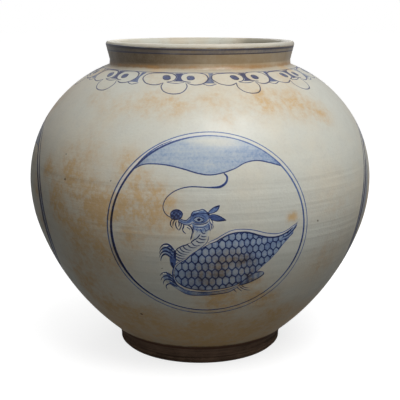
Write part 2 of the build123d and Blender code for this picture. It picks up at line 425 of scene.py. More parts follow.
def wash(lower, upper, ink, columns=14, soft=0.0, coat=0, rows=60):
    """A filled shape between two smooth lines of pixels that run the same way. The ink may be a
    number or a function of the pixels. With softness it fades towards the borders."""
    low_line, high_line = (even_points(line, rows) for line in (lower, upper))
    share = np.linspace(0, 1, columns)
    pixels = low_line[:, None] + (high_line - low_line)[:, None] * share[:, None]
    turn, run = on_jar(pixels)
    inks = ink(pixels) if callable(ink) else np.full(turn.shape, float(ink))
    edge = np.broadcast_to(inside_edge(share, columns), turn.shape)
    if soft:
        inks = inks * np.clip(np.minimum(share, 1 - share) / soft, 0, 1)
    return paint_layer(turn, run, inks * edge, edge, coat)

# %% Layers into one piece
MAP_START, MAP_REACH, MAP_CORNER = 0.04, 0.95, 0.03
MAP_MIDDLE, MAP_SHRINK = 0.52, 2.1


def label_map(turn, run):
    """Flat map of a painted part: turn across, run up, each stretched over most of the map."""
    flat = np.stack((turn, run), 1)
    low, high = flat.min(0), flat.max(0)
    return MAP_START + MAP_REACH * (flat - low) / (high - low)


def map_from_above(points):
    """Flat map of a part as it looks from over the jar, so that its rings keep their width: the
    two level axes, shrunk into the map."""
    level = points[:, :2]
    return MAP_MIDDLE + level / (MAP_SHRINK * np.abs(level).max())


def painted_piece(name, layers, shift=0.0, from_above=False, mirror=None):
    """Joins paint layers into a mesh, turned round the jar by the shift. Every layer is a tube
    of quads along its rows, closed at its ends unless it runs in a ring. A mirror is the turn
    about which the drawing is flipped; its faces are then wound the other way. The undersides
    are squeezed into a corner of the map, so that the tops have the rest of it."""
    points, quads, caps, inks, tops, turns, runs = [], [], [], [], [], [], []
    base = 0
    for turn, run, ink, lift, last, closed in layers:
        turn = turn if mirror is None else 2 * mirror - turn
        rows, loop = turn.shape
        index = base + np.arange(rows * loop).reshape(rows, loop)
        beside = np.roll(index, -1, axis=0)
        grid = np.stack((index, beside, np.roll(beside, -1, 1), np.roll(index, -1, 1)), -1)
        ends = [] if closed else [index[0], index[-1, ::-1]]
        if not closed:
            grid = grid[:-1]
        if mirror is not None:
            grid, ends = grid[..., ::-1], [end[::-1] for end in ends]
        caps += [end.tolist() for end in ends]
        top = np.zeros(grid.shape[:2], bool)
        top[:, :last] = True
        quads.append(grid.reshape(-1, 4))
        tops.append(top.ravel())
        turns.append((turn + shift).ravel())
        runs.append(run.ravel())
        points.append(glaze_point(turn + shift, run, lift).reshape(-1, 3))
        inks.append(ink.ravel())
        base += rows * loop
    points, quads = np.concatenate(points), np.concatenate(quads)
    turns, runs = np.concatenate(turns), np.concatenate(runs)
    spread = map_from_above(points) if from_above else label_map(turns, runs)
    corners = spread[np.concatenate([quads.ravel()] + [np.array(cap) for cap in caps])]
    top = np.repeat(np.concatenate(tops), 4)
    corners[:quads.size][~top] *= MAP_CORNER
    corners[quads.size:] *= MAP_CORNER
    piece = new_piece(name, points, quads.tolist() + caps, corners)
    level = piece.data.attributes.new("ink", "FLOAT", "POINT")
    level.data.foreach_set("value", np.concatenate(inks))
    print(name, len(points), "points,", 2 * len(quads), "triangles")
    return piece

# %% [markdown]
# ## The roundel
# Four large roundels stand round the belly. Each has a thick inner ring and a thin outer one
# with a pale band between them, a cloud at the top, and a tortoise with a dragon's head that
# breathes a wisp of vapour up to the cloud. The front one is seen whole, so its strokes are drawn
# once there and carried round to the other three places, with bolder rings at the two sides.

# %% Rings of the roundel
RING_STEPS = 420
ring_middle, ring_half = (206.5, 222.4), (95.0, 87.2)
# By degrees, anticlockwise from the right: how far each ring reaches, as a share of the ellipse,
# and the inner ring's width in pixels and its load of ink
inner_reach = {
    0: 1.027, 25: 1.027, 45: 1.021, 60: 1.013, 75: 1.003, 90: 0.994, 105: 0.987, 125: 0.986, 145: 0.983,
    160: 0.991, 175: 1.003, 195: 1.01, 225: 1.009, 245: 1.004, 265: 1.006, 290: 1, 315: 1.001, 335: 1.014,
    350: 1.024,
}
outer_reach = {
    0: 1.06, 20: 1.064, 40: 1.064, 60: 1.055, 80: 1.043, 100: 1.032, 120: 1.029, 150: 1.03, 165: 1.038,
    185: 1.046, 205: 1.047, 225: 1.041, 245: 1.037, 265: 1.042, 285: 1.038, 310: 1.035, 330: 1.042,
    345: 1.054,
}
inner_pixels = {
    0: 1.9, 30: 1.6, 60: 1.4, 90: 1.1, 105: 1.8, 130: 2.1, 150: 1.9, 175: 2.2, 200: 2.5, 230: 2.3, 245: 1.5,
    265: 1.7, 290: 1.4, 315: 1.5, 340: 2.1,
}
inner_load = {
    0: 0.6, 30: 0.5, 60: 0.48, 90: 0.42, 105: 0.66, 130: 0.8, 150: 0.8, 175: 0.98, 200: 1, 230: 0.96,
    245: 0.68, 265: 0.82, 290: 0.68, 315: 0.7, 340: 0.84,
}


def round_the_clock(keys, angle):
    """Value at each angle, read between the few angles in the keys and evened out by a mean over
    twenty degrees."""
    places = np.array(list(keys))
    near = [np.interp(np.degrees(angle) + step, places, list(keys.values()), period=360)
            for step in (-10, -5, 0, 5, 10)]
    return np.mean(near, axis=0)


def hump(value, middle, reach):
    """A soft hump, one at the middle: e to the power of minus the square of how many reaches the
    value is away from it."""
    return np.exp(-(((value - middle) / reach) ** 2))


def ellipse(middle, across, up, angle):
    """Pixels round a middle: its half width times the cosine, its half height times the sine."""
    return np.stack((middle[0] + across * np.cos(angle), middle[1] - up * np.sin(angle)), 1)


def ring_line(keys, angle, spread=0.0):
    """A ring of pixels drawn by hand: an ellipse whose reach changes with the angle."""
    reach = round_the_clock(keys, angle) + spread
    return ellipse(ring_middle, ring_half[0] * reach, ring_half[1] * reach, angle)


def ring_layers(bold):
    """Two rings and the band between them. On the front the kiln left the band cleaner, so its
    ink is below zero, but at the lower left the brush filled it and the inner ring is broader.
    The roundels at the sides are drawn bolder at the left, with a grey wash between."""
    angle = np.linspace(0, 2 * pi, RING_STEPS, endpoint=False)
    outer_turn, outer_run = on_jar(ring_line(outer_reach, angle, 0.022 * bold))
    inner_turn, inner_run = on_jar(ring_line(inner_reach, angle))
    left, top_left = hump(angle, radians(190), 0.9), hump(angle, radians(130), 0.9)
    low_left = hump(angle, radians(200), 0.42) * (1 - bold)
    wider = (1 + 1.3 * bold * left) * MILLIMETRE
    inner_width = (1.15 + 0.35 * low_left) * round_the_clock(inner_pixels, angle) * wider
    outer_width = (1.2 + 0.5 * left) * wider
    outer_ink = 0.48 + 0.08 * left + 0.40 * bold - 0.15 * low_left
    inner_ink = round_the_clock(inner_load, angle) + 0.15 * bold
    band_ink = -0.03 - 0.11 * top_left + 0.36 * bold * left + 0.21 * low_left
    across = np.array((0, 1, 1, 0.5 + 0.5 * bold, 0))
    share = np.linspace(0, 1, len(across))
    turn = inner_turn[:, None] + (outer_turn - inner_turn)[:, None] * share
    run = inner_run[:, None] + (outer_run - inner_run)[:, None] * share
    edge = np.broadcast_to(inside_edge(share, len(across)), turn.shape)
    return [paint_layer(turn, run, band_ink[:, None] * across, edge, closed=True),
            stroke(outer_turn, outer_run, outer_width, outer_ink, closed=True),
            stroke(inner_turn, inner_run, inner_width, inner_ink, coat=2, closed=True)]


def rim_ink(pixels):
    """Full in the middle of the rim, gone at its two ends."""
    return 0.30 * hump(pixels[..., 1], 215, 42)


def rim_wash():
    """The grey wash inside the near rim of the roundel at the right."""
    angle = np.linspace(radians(115), radians(235), 60)
    rim = ellipse(ring_middle, *ring_half, angle)
    inward = ellipse(ring_middle, 0.86 * ring_half[0], 0.86 * ring_half[1], angle)
    return wash(inward, rim, rim_ink, 12, 0.2, rows=120)

# %% Cloud and vapour
cloud_foot = [
    (133.5, 169.2), (142, 164.8), (156, 163.9), (170, 165.6), (184, 169.1), (198, 173.3), (209, 174.9),
    (223.5, 172.6), (235, 168.4), (246, 162.4), (257, 160.4), (268, 162.1), (281.5, 165.9),
]
cloud_back = [
    (133.5, 168.6), (145, 156), (158, 146.6), (172, 140.4), (188, 136.7), (206, 135.6), (224, 136.8),
    (240, 140.4), (255, 146.2), (268, 153.8), (281.5, 165.2),
]
vapour = [
    (223.6, 173), (227, 176.5), (226.6, 181.5), (221.5, 186.2), (212, 187.5), (201, 187), (190, 186.8),
    (180, 188.8), (171, 193.5), (165, 200), (163, 207.5), (165.3, 213.4), (170.6, 217.6),
]


def cloud_ink(pixels):
    """Darker towards the two tips and along the foot, in long level brush marks, and palest at the
    top middle, where a painted highlight thins the wash."""
    x, y = pixels[..., 0], pixels[..., 1]
    side = np.clip(np.abs(x - 206) / 75, 0, 1) ** 1.6
    depth = np.clip((y - 140) / 30, 0, 1)
    marks = 0.020 * np.sin(1.3 * y + 0.05 * x) + 0.022 * np.sin(0.55 * y - 0.06 * x + 2)
    marks = marks + 0.014 * np.sin(2.9 * y + 0.11 * x + 3 * np.sin(0.045 * x))
    # Painted highlight: less ink in a small patch at the top middle of the cloud.
    painted_highlight = hump(x, 216, 28) * hump(y, 141, 6)
    right = np.where(x > 206, 1.3, 0.7)
    return 0.22 + 0.10 * side * right + 0.02 * depth * (1 - 0.6 * side) - 0.15 * painted_highlight + 0.6 * marks


def cloud_layers():
    """The cloud's wash, its dark foot line and the wisp that hangs from it."""
    return [wash(cloud_foot, cloud_back, cloud_ink, 40, rows=120),
            brush(cloud_foot, 1.15, 0.74, (0.08, 0.08), blunt=0.6),
            brush(cloud_back[:4], 1.3, 0.6, (0.05, 0.5)),
            brush(cloud_back[-4:], 1.3, 0.6, (0.5, 0.05)),
            brush(vapour[:6], 2.0, 0.70, (0.1, 0.5)),
            brush(vapour, 0.95, 0.78, (0.02, 0.05), blunt=0.7)]

# %% The shell and its scales
shell_top = [
    (174.2, 273), (175.2, 268.6), (177.6, 265), (181, 262.4), (186, 259.8), (191, 255.2), (196, 251.6),
    (203, 247.8), (210, 243.9), (216.1, 241.6), (222.1, 238.2), (228.2, 235), (234.2, 233.2),
    (240.3, 232.5), (246.4, 232.3), (252.4, 233.5), (258.5, 235.3), (264.5, 236.8), (270.6, 237.4),
    (275.4, 237.1), (281.5, 235.3), (287.6, 231.8), (293, 227.4), (297.5, 222.6),
]
shell_foot = [
    (174.2, 273.4), (174.9, 277), (176.6, 281), (180, 284.2), (184.5, 286.8), (191.6, 288.9),
    (201.5, 290.2), (212, 290), (221, 288.8), (230, 287), (238, 284.4), (246, 280), (252.6, 275),
    (258, 270.3), (264.5, 264.1), (269.4, 260), (274.2, 255), (278.5, 250.2), (283, 244.1), (288.8, 237.6),
    (293.4, 231.4), (297.5, 223),
]
shell_rim = [
    (207.5, 243.4), (210, 241.7), (216.1, 239), (222.1, 235.3), (228.2, 232), (234.2, 229.9),
    (240.3, 229.3), (246.4, 229.3), (252.4, 229.9), (258.5, 231.1), (264.5, 232.6), (270.6, 233.5),
    (275.4, 233.8), (281.5, 232.6), (287.6, 229.8), (292.8, 226), (298.6, 221.4),
]

tail_fill = [(279, 240.4), (285, 237.4), (290, 233.4), (296.6, 224.8)]
tail_dark = [(281.5, 238.1), (287.6, 235), (292.4, 230.8), (297.2, 224.7)]
tail_low = [(282.7, 239.6), (288.2, 237.4), (293.6, 232.2)]
front_rim = [
    (186.5, 257.6), (180, 261.2), (175.5, 264.6), (172.9, 269.6), (172.4, 274.4), (173.8, 280),
    (177, 284.4), (182.5, 288.2), (190, 290.8),
]
column_places, column_numbers = (160, 188.3, 235.7, 276, 300), (-4.2, 0, 7, 14, 19)


def scale_ink(pixels):
    """Rows of ovals, each set half a step from the last, in a net of blue. A pixel becomes a
    column and a row number; the distance to the nearest oval's middle gives the ink."""
    x, y = pixels[..., 0], pixels[..., 1]
    column = np.interp(x, column_places, column_numbers)
    row = (y - (259.5 - 0.0018 * (x - 208) ** 2)) / (7.6 - 0.014 * (x - 200))
    nearest, second, shade = np.full(x.shape, 9.0), np.full(x.shape, 9.0), np.zeros(x.shape)
    for step in (-1, 0, 1):
        level = np.round(row) + step
        for side in (-1, 0, 1):
            middle = np.round(column + 0.5 * (level % 2)) - 0.5 * (level % 2) + side
            seed = np.sin(12.9 * middle + 78.2 * level) * 43758.5
            seed = seed - np.floor(seed)
            drift = 0.07 * np.sin(2 * pi * seed)
            away = np.hypot((column - middle - drift) / 0.50, (row - level - 0.8 * drift) / 0.60)
            closer = away < nearest
            second = np.where(closer, nearest, np.minimum(second, away))
            shade = np.where(closer, seed, shade)
            nearest = np.where(closer, away, nearest)
    net = np.clip((0.36 - (second - nearest)) / 0.28, 0, 1)
    corners = np.clip((nearest - 0.93) / 0.16, 0, 1)
    net = np.maximum(net, corners)
    net = net * net * (3 - 2 * net)
    faint = hump(x, 228, 26) * hump(y, 268, 13)
    worn = hump(x, 192, 20) * hump(y, 281, 10)
    blue = np.clip((x - y + 20) / 60, 0, 1)
    fill = 0.250 + 0.05 * shade + 0.05 * np.clip(nearest, 0, 1) ** 2 + 0.05 * blue
    return fill + net * (0.71 - 0.15 * faint - 0.18 * worn) - 0.04 * faint


def shell_layers():
    """The scales, the dark line round them, the thin rim over them and the tail's strokes."""
    return [wash(shell_foot, shell_top, scale_ink, 124, rows=250),
            brush(shell_top[:9], 1.0, 0.80, (0.12, 0.1)),
            brush(shell_top[8:-1], 1.7, 0.92, (0.3, 0.1), blunt=0.4),
            brush(shell_foot[:11], 1.2, 0.85, (0.15, 0.1)),
            brush(shell_foot[11:-1], 0.7, 0.55, (0.1, 0.1)),
            wash(shell_top[8:], shell_rim, -0.12, 6),
            brush(shell_rim, 0.9, 0.62, (0.1, 0.1)),
            brush(tail_fill, 3.4, 0.36, (0.5, 0.5)),
            brush(tail_dark, 1.7, 0.85, (0.4, 0.2), coat=2),
            brush(tail_low, 1.2, 0.75, (0.3, 0.2), coat=2),
            brush(front_rim, 0.75, 0.62, (0.2, 0.2))]

# %% Head of the dragon
head_top = [
    (190.6, 219), (191.2, 215), (193.2, 211.9), (196.5, 210.9), (199.4, 210.3), (202.4, 209.4),
    (205.4, 210.8), (207.6, 213.2),
]
head_foot = [
    (190.8, 219.6), (193, 222.6), (197, 224.4), (202, 224.4), (206.4, 222.6), (208.8, 219), (208.2, 214),
]
cheek_top = [(191.4, 221.4), (196, 224), (202, 224.4), (207.2, 222.2), (209.4, 219.6)]
cheek_foot = [(193, 229), (197, 233), (202, 234.4), (207, 233.6), (210.6, 230)]
snout_top = [(178.6, 217.4), (182.7, 220), (186, 220.4), (189, 218.2), (191, 216)]
snout_foot = [(178.2, 221.8), (183, 224), (187.2, 224.9), (190.4, 224.4), (192.4, 223.2)]
nose_top = [
    (170.3, 216.4), (171.3, 212.3), (174, 210.3), (176.9, 209.9), (179.8, 210.8), (182.3, 213.2),
    (182.3, 216.4),
]
nose_foot = [(170.3, 216.6), (171.6, 218.6), (174.4, 219.4), (177.4, 219.2), (180, 218.4), (182.2, 216.8)]
brow = [(191.6, 216.4), (194.4, 214.4), (198.4, 213.3), (203, 213.2), (207.6, 213.8)]
eye_top = [(193.4, 219.4), (195.6, 217.6), (198.4, 217), (201.4, 217.6), (204.6, 219.9)]
eye_foot = [(193.4, 219.4), (195.4, 221.2), (198.4, 222.2), (201.6, 221.8), (204.6, 219.9)]
pupil_top = [(196.9, 219.6), (197.8, 217.9), (199.4, 217.7), (200.8, 219.4)]
pupil_foot = [(196.9, 219.7), (197.9, 221.5), (199.6, 221.6), (200.8, 219.7)]
upper_ear_top = [(207.6, 213.4), (210.2, 210.4), (214.6, 207.2), (219.9, 205.2)]
upper_ear_foot = [(207.8, 213.8), (212.6, 213), (217.2, 210.4), (219.9, 205.6)]
lower_ear_top = [(208.6, 215.6), (213.6, 214.6), (219, 216), (222.6, 218), (226.3, 220.2)]
lower_ear_foot = [(208.8, 216.8), (211.4, 219.4), (216.6, 221), (221.6, 220.9), (226.3, 220.4)]
cheek_line = [(191.8, 222.1), (193.8, 223.7), (198, 224.7), (203.4, 224.1), (207.1, 222.6), (209, 220.6)]
nape = [(208.2, 214.1), (208.9, 217.4), (209.6, 221), (211.1, 224.6), (211.4, 227.8), (210.1, 231.4)]
throat = [
    (186.4, 224.8), (188.9, 225.6), (191.1, 227.5), (192.5, 230.4), (192.2, 233.4), (191.6, 236.2),
    (190.6, 240),
]
throat_back = [(192.9, 225.6), (194, 228.6), (193.4, 233.4)]
jaw_shade = [(186.6, 227.2), (188.4, 228), (190.2, 229.9)]
whiskers = [
    [(172.4, 219), (170.6, 222.1), (170.6, 224.9), (172.9, 228.4)],
    [(175.1, 219.5), (173.3, 222.4), (172.8, 226.2)],
    [(176.4, 221), (175.6, 223.9), (176.4, 227.2), (178.8, 230.4)],
    [(178.2, 220.6), (179.3, 223.9), (178.6, 226.9)],
    [(180.6, 221.8), (181.2, 225.4), (180.2, 228.4), (178.8, 230.6)],
    [(183.6, 223.7), (183.6, 226.8), (182.6, 229.4), (183.4, 231.6), (186.1, 233.9)],
]
cheek_ticks = [
    [(192.4, 226.4), (193.2, 229), (192.8, 231.4)],
    [(196, 228.4), (197.2, 230.6), (196.8, 233)],
    [(199.8, 228.6), (201.4, 230.4), (201.8, 232.8)],
    [(204, 227.8), (205.4, 229.6), (205.2, 232.2)],
    [(207.6, 226), (209.6, 228.4), (209.2, 231.2)],
    [(191.9, 214.4), (193.6, 216.2), (194.4, 217.8)],
    [(194.2, 213.4), (195.8, 214.9), (196.4, 216.6)],
    [(210.6, 219.2), (212.6, 221.4), (213, 224.4)],
    [(211.2, 223.4), (213.2, 226.2), (212.4, 229.4)],
]
nose_marks = [
    [(172.6, 216.9), (173.7, 215.6), (174.9, 216.6)],
    [(176.8, 216.9), (178, 215.4), (179.4, 216.6)],
    [(173, 213.6), (175.2, 212), (178.4, 212.2), (180.4, 214)],
]
ear_tips = [
    [(215.4, 207.6), (218.2, 206.2), (219.9, 205.2)],
    [(221.4, 219.6), (224, 220.2), (226.4, 220.4)],
]
ear_root = [(206.6, 212.2), (207.9, 213.4), (209.2, 215.4)]
eye_lid = [(191.8, 217.6), (194.2, 215.2), (198, 214.6), (202.2, 215.2), (205.8, 217.6)]
eye_bag = [(193.4, 221.4), (196, 223.1), (199.6, 223.6), (203.2, 222.6), (205.8, 220.6)]
cheek_fold = [(194.4, 226.2), (198.4, 227.6), (203, 227.2), (207.4, 225.2)]
jowl = [(207.4, 223.6), (209.6, 226.4), (208.4, 229.6), (205, 231.2)]


def nose_ink(pixels):
    """Mottled: pale spots between darker ones, a few pixels apart."""
    x, y = pixels[..., 0], pixels[..., 1]
    return 0.66 + 0.30 * np.cos(1.45 * (x - 176.2)) * np.cos(1.25 * (y - 214.8) + 0.3 * (x - 176))


def head_layers():
    """Washes for nose, snout, head, cheek, eye and ears, then their dark lines."""
    layers = [wash(nose_foot, nose_top, nose_ink, 24, rows=120),
              wash(snout_foot, snout_top, 0.46, 8, 0.3),
              wash(head_foot[:-1], head_top, 0.42, 12, 0.1), wash(cheek_foot, cheek_top, 0.36, 10, 0.25),
              wash(eye_foot, eye_top, 0.29, 8, 0, 1), wash(pupil_foot, pupil_top, 1.0, 7, 0, 2),
              wash(upper_ear_foot, upper_ear_top, 0.42, 8, 0, 1),
              wash(lower_ear_foot, lower_ear_top, 0.62, 8, 0, 1)]
    for line, width, ink in ((nose_top, 1.3, 1.0), (nose_foot, 1.2, 0.95), (head_top, 1.0, 0.9),
                             (snout_top, 0.9, 0.85), (snout_foot, 0.9, 0.85), (brow, 1.0, 0.9),
                             (eye_top, 0.9, 1.0), (eye_foot, 0.8, 0.95), (eye_lid, 0.6, 0.8),
                             (eye_bag, 0.6, 0.75), (cheek_line, 0.9, 0.8), (cheek_fold, 0.7, 0.7),
                             (jowl, 0.8, 0.75), (nape, 0.8, 0.72), (throat, 1.1, 1.0),
                             (throat_back, 0.7, 0.75), (jaw_shade, 0.9, 0.85),
                             (upper_ear_top, 0.9, 0.95), (upper_ear_foot, 0.9, 0.9),
                             (lower_ear_top, 1.0, 0.95), (lower_ear_foot, 0.9, 1.0)):
        layers.append(brush(line, width, ink, coat=2))
    layers.append(brush(ear_root, 2.2, 1.0, coat=3))
    layers += [brush(line, 1.05, 1.0, (0.1, 0.3)) for line in whiskers]
    layers += [brush(line, 0.75, 0.75, (0.2, 0.4), coat=2) for line in cheek_ticks]
    layers += [brush(line, 1.3, 1.0, (0.5, 0.1), coat=3) for line in ear_tips]
    layers += [brush(line, 0.9, 1.0, coat=2) for line in nose_marks]
    return layers

# %% Neck, claws and hind foot
breast = [
    (190.9, 243), (188.5, 243.7), (186.4, 245), (183.1, 245.8), (179.8, 247.4), (176.9, 249.2),
    (175.8, 250.8), (175.6, 254), (175.6, 258), (176.4, 261.4),
]
neck_back = [
    (208.4, 236), (208.2, 239.9), (206.3, 243.2), (202, 247), (197.8, 250.2), (192, 254.2), (186.5, 258.4),
]
neck_fold = [(200.5, 233.7), (198.7, 236.3), (196.2, 238.8), (193.6, 240.3), (191.8, 241.7), (190.8, 243.8)]
neck_wash_front = [
    (193, 228), (192.6, 236), (191, 243), (184, 245.6), (177.5, 249), (175.8, 254), (176.4, 261),
]
neck_wash_back = [
    (210.4, 229), (208.4, 238), (206, 243.4), (199, 249.2), (193, 253.6), (188, 257), (183, 261),
]
ribs = [
    [(201.3, 231.9), (203.4, 233.7), (206, 232.9)],
    [(200.7, 235.7), (203.4, 236.8), (206.6, 236.2)],
    [(198.6, 238), (202.2, 239.7), (206.2, 239.4)],
    [(195.8, 240.6), (199.8, 242.8), (204.8, 241.9)],
    [(191.8, 242.6), (193.6, 245), (197, 246), (200.4, 245.2)],
    [(187.4, 244.3), (189.3, 246.6), (192.6, 247.8), (196.4, 247.6)],
    [(183.2, 245.7), (184.2, 248), (187.4, 249.9), (191.8, 250.4)],
    [(179.8, 247.4), (181.2, 249.9), (184.6, 251.9), (189.4, 252.4)],
    [(176.9, 249.6), (178.6, 251.8), (182, 253.8), (187, 254.6)],
    [(175.9, 252.6), (178, 254.6), (181.4, 256), (185.4, 256.2)],
    [(175.8, 255.8), (178.4, 257.6), (181.8, 258.4), (184.8, 257.8)],
    [(176, 259), (178.6, 260.6), (181.6, 260.8)],
]
upper_hand_out = [(173.6, 268.9), (170.4, 265), (169.4, 260), (169.2, 255), (168.4, 250.5), (166.4, 246.6)]
upper_hand_in = [(174.4, 268.7), (176.2, 263), (176.4, 257), (176.2, 252), (174.2, 248.5), (169.6, 245.2)]
upper_talons = [
    [(174.2, 250.6), (171.2, 246.6), (167.2, 244.2), (163.6, 244.6), (161, 246.8), (159.6, 249.6)],
    [(173.6, 253), (170.2, 249.6), (166.2, 247.6), (162.6, 248.6), (160.4, 250.8), (159.4, 253.6)],
    [(173, 256), (169.6, 252.8), (165.6, 251), (162.2, 252.2), (160.4, 254.6), (159.6, 257.4)],
    [(172.6, 259), (169.2, 256), (165.6, 254), (162.8, 255.2), (161.2, 257.8), (160.8, 261)],
]
lower_hand_out = [(176.6, 288), (172.6, 286.4), (169.8, 284), (168.4, 280.6), (167.4, 277), (166.2, 273.6)]
lower_hand_in = [(178.4, 286.8), (177, 283.4), (175.6, 280.2), (174, 277.2), (171.4, 274.8), (167.4, 272.8)]
lower_talons = [
    [(174.4, 278.4), (170.4, 274.6), (166.2, 272.6), (162.6, 273), (160, 275.6)],
    [(175, 281), (170.4, 277.4), (166, 275.8), (162.6, 277.2), (160.8, 280.6)],
    [(175.4, 283.4), (171, 280.4), (166.6, 279.2), (163.9, 281.2), (163.2, 284.6)],
    [(177, 286.4), (172.6, 284.4), (168.6, 283.8), (166.2, 285.8), (167.4, 289.6)],
]
link_line = [(173.6, 268.6), (173, 272.8), (174, 277)]
under_top = [
    (174.6, 283), (178.5, 286.4), (184, 289.6), (191.6, 291.4), (201, 292), (212, 291.8), (222, 290.6),
    (231, 288.4), (239, 285.2),
]
under_foot = [
    (174.6, 287.4), (180.5, 290.9), (185.3, 293.5), (190, 294.9), (199.5, 295.3), (210, 295),
    (219.1, 293.9), (228.2, 292.2), (239, 286.6),
]
leaf_top = [(238.6, 285), (243.9, 280.4), (248.8, 276.4), (253.6, 273.4), (258.5, 271.9), (263.2, 271.5)]
leaf_foot = [(238.6, 285.8), (247.6, 283), (254.8, 279.9), (260.4, 276.6), (263.8, 273.2), (263.6, 271.9)]
hind_talons = [
    [(236.6, 287.2), (239.4, 289.2), (241.8, 291.4)],
    [(239.4, 286.4), (243, 288.8), (247, 289.9), (250.4, 289.9)],
    [(241.4, 285.4), (245, 287.6), (248.6, 287.9)],
    [(232.6, 289.2), (235, 290.6), (236.6, 292.4)],
]
upper_grip_top = [(174.6, 249.6), (170.6, 246.2), (166.4, 244.4), (162.4, 245.6)]
upper_grip_low = [(173.6, 261), (169.6, 257.6), (165.6, 255.4), (162.4, 254.6)]
lower_grip_top = [(174.8, 277.6), (170.4, 274.4), (166.4, 272.8), (162.8, 273.6)]
lower_grip_low = [(176.4, 286), (171.8, 283.4), (167.4, 282), (163.8, 280.4)]
wrist_dark = [(174, 249.6), (175, 253.6), (174.2, 258.8)]
palm_dark = [(171.4, 261.6), (172.6, 265.4), (173.8, 268.6)]
lower_palm_dark = [(172.6, 278.6), (174.6, 282), (177.4, 285.2)]


def leaf_ink(pixels):
    """The hind foot: dark at its borders and root, paler towards the tip."""
    x = pixels[..., 0]
    return 0.38 - 0.10 * np.clip((x - 240) / 20, 0, 1) + 0.06 * np.sin(1.1 * x)


def under_ink(pixels):
    """The band under the shell: two full brush loads on a thinner wash."""
    x = pixels[..., 0]
    return 0.21 + 0.17 * (hump(x, 188, 6) + hump(x, 204, 7))


def body_layers():
    """The ribbed neck, the two fore claws, the dark band under the shell and the hind foot."""
    layers = [wash(neck_wash_front, neck_wash_back, 0.17, 14, 0.15),
              wash(upper_hand_out, upper_hand_in, 0.58, 10),
              wash(lower_hand_out, lower_hand_in, 0.50, 10),
              wash(upper_grip_low, upper_grip_top, 0.34, 8, 0.3),
              wash(lower_grip_low, lower_grip_top, 0.34, 8, 0.3),
              wash(under_foot, under_top, under_ink, 10, rows=120),
              wash(leaf_foot, leaf_top, leaf_ink, 14, rows=120)]
    layers += [brush(line, 1.1, 0.92, (0.08, 0.6)) for line in ribs]
    for lines, width, ink in ((upper_talons, 1.6, 0.92), (lower_talons, 1.5, 0.90),
                              (hind_talons, 0.9, 0.75)):
        layers += [brush(line, width, ink, (0.1, 0.5)) for line in lines]
    for line, width, ink in ((breast, 1.15, 1.0), (neck_back, 0.8, 0.7), (neck_fold, 1.1, 0.95),
                             (link_line, 1.0, 0.8), (under_foot, 1.1, 0.72), (under_top, 0.9, 0.80),
                             (leaf_top, 1.3, 0.9), (leaf_foot, 1.3, 0.95), (wrist_dark, 2.3, 1.0),
                             (palm_dark, 2.2, 0.98), (lower_palm_dark, 1.8, 0.95)):
        layers.append(brush(line, width, ink, coat=2))
    return layers

# %% Four roundels round the belly
def roundel_layers(bold=0.0):
    """All the layers of one roundel, as they lie on the front of the jar. Bold is zero for the
    rings as they are there and one for the bolder rings at the sides."""
    return ring_layers(bold) + cloud_layers() + shell_layers() + head_layers() + body_layers()


roundel_turns = {"front": 0.0, "right": 92.0, "back": 181.0, "left": -91.0}
plain, bold = roundel_layers(), roundel_layers(1.0)
drawings = {"front": plain, "right": [rim_wash()] + bold, "back": plain, "left": bold}
mirrors = {"left": middle_turn[0]}
painted = [painted_piece(f"{side}_roundel", drawings[side], radians(turn), mirror=mirrors.get(side))
           for side, turn in roundel_turns.items()]

# %% [markdown]
# ## The collar band and the neck's lines
# Under the neck runs a band of paired volutes, each with a dark eye, and a round pendant under
# each pair. Fills of blue part the volutes. The unit is drawn once, where the photograph shows it
# best, and carried round the shoulder to eleven places, a little unevenly, as a hand would. Every
# unit could be drawn by itself, but most of them are hidden or seen aslant in the photograph. Two
# lines with a thin wash between them go round the neck under the lip. They are bands along one
# height of the jar, because a potter draws them by holding the brush still while the jar turns.

# %% One unit of the collar band
left_lobe = [
    (163.2, 82.8), (157.5, 84.6), (150.2, 84.3), (144.8, 81.9), (143.2, 78.3), (146.2, 75), (152.4, 73.2),
    (160, 72.9), (168, 73.1), (173.8, 74.1), (176.4, 76.6), (175.2, 79.4), (171.4, 81.2), (166.6, 81.8),
]
right_lobe = [
    (187.2, 83.2), (193, 84.8), (200, 84.4), (205.6, 82.1), (208, 78.7), (206.2, 75.4), (200.6, 73.3),
    (193, 72.9), (186.6, 73.3), (182.2, 74.8), (180.4, 77.6), (181.8, 80.2), (186, 81.8), (190.8, 82.1),
]
waist_left = [(172.4, 81.4), (175.6, 79.8), (176.9, 76.9), (174.6, 73.4)]
waist_right = [(184.2, 81.5), (181.4, 79.9), (180.2, 77.2), (184, 73.4)]
waist_arc = [(166.8, 82), (171.6, 83), (177.4, 83.2), (184.2, 82.2)]
pendant = [
    (163.4, 82.6), (161.2, 86.6), (162.8, 90.4), (167.8, 93.1), (174.1, 93.9), (180.3, 93.1), (185, 90),
    (187, 86.1), (185.6, 82.8),
]
wedge_left = [(202.8, 83.4), (206.6, 81), (208.6, 77.4), (207.4, 73.3)]
wedge_right = [(216.2, 83.4), (213.2, 80.8), (211.6, 77.4), (213.4, 73.3)]
wedge_arc = [(202.6, 83.9), (209.3, 85.7), (216.4, 83.9)]
eyes = {"left": ((166.8, 77.5), 3.9, 2.2), "right": ((190.6, 77.9), 3.8, 2.0)}
HAIR = 0.01


def half_round(middle, across, up):
    """Half of an ellipse of pixels, from left to right: the lower half when up is below zero."""
    return ellipse(middle, across, up, np.linspace(pi, 0, 9))


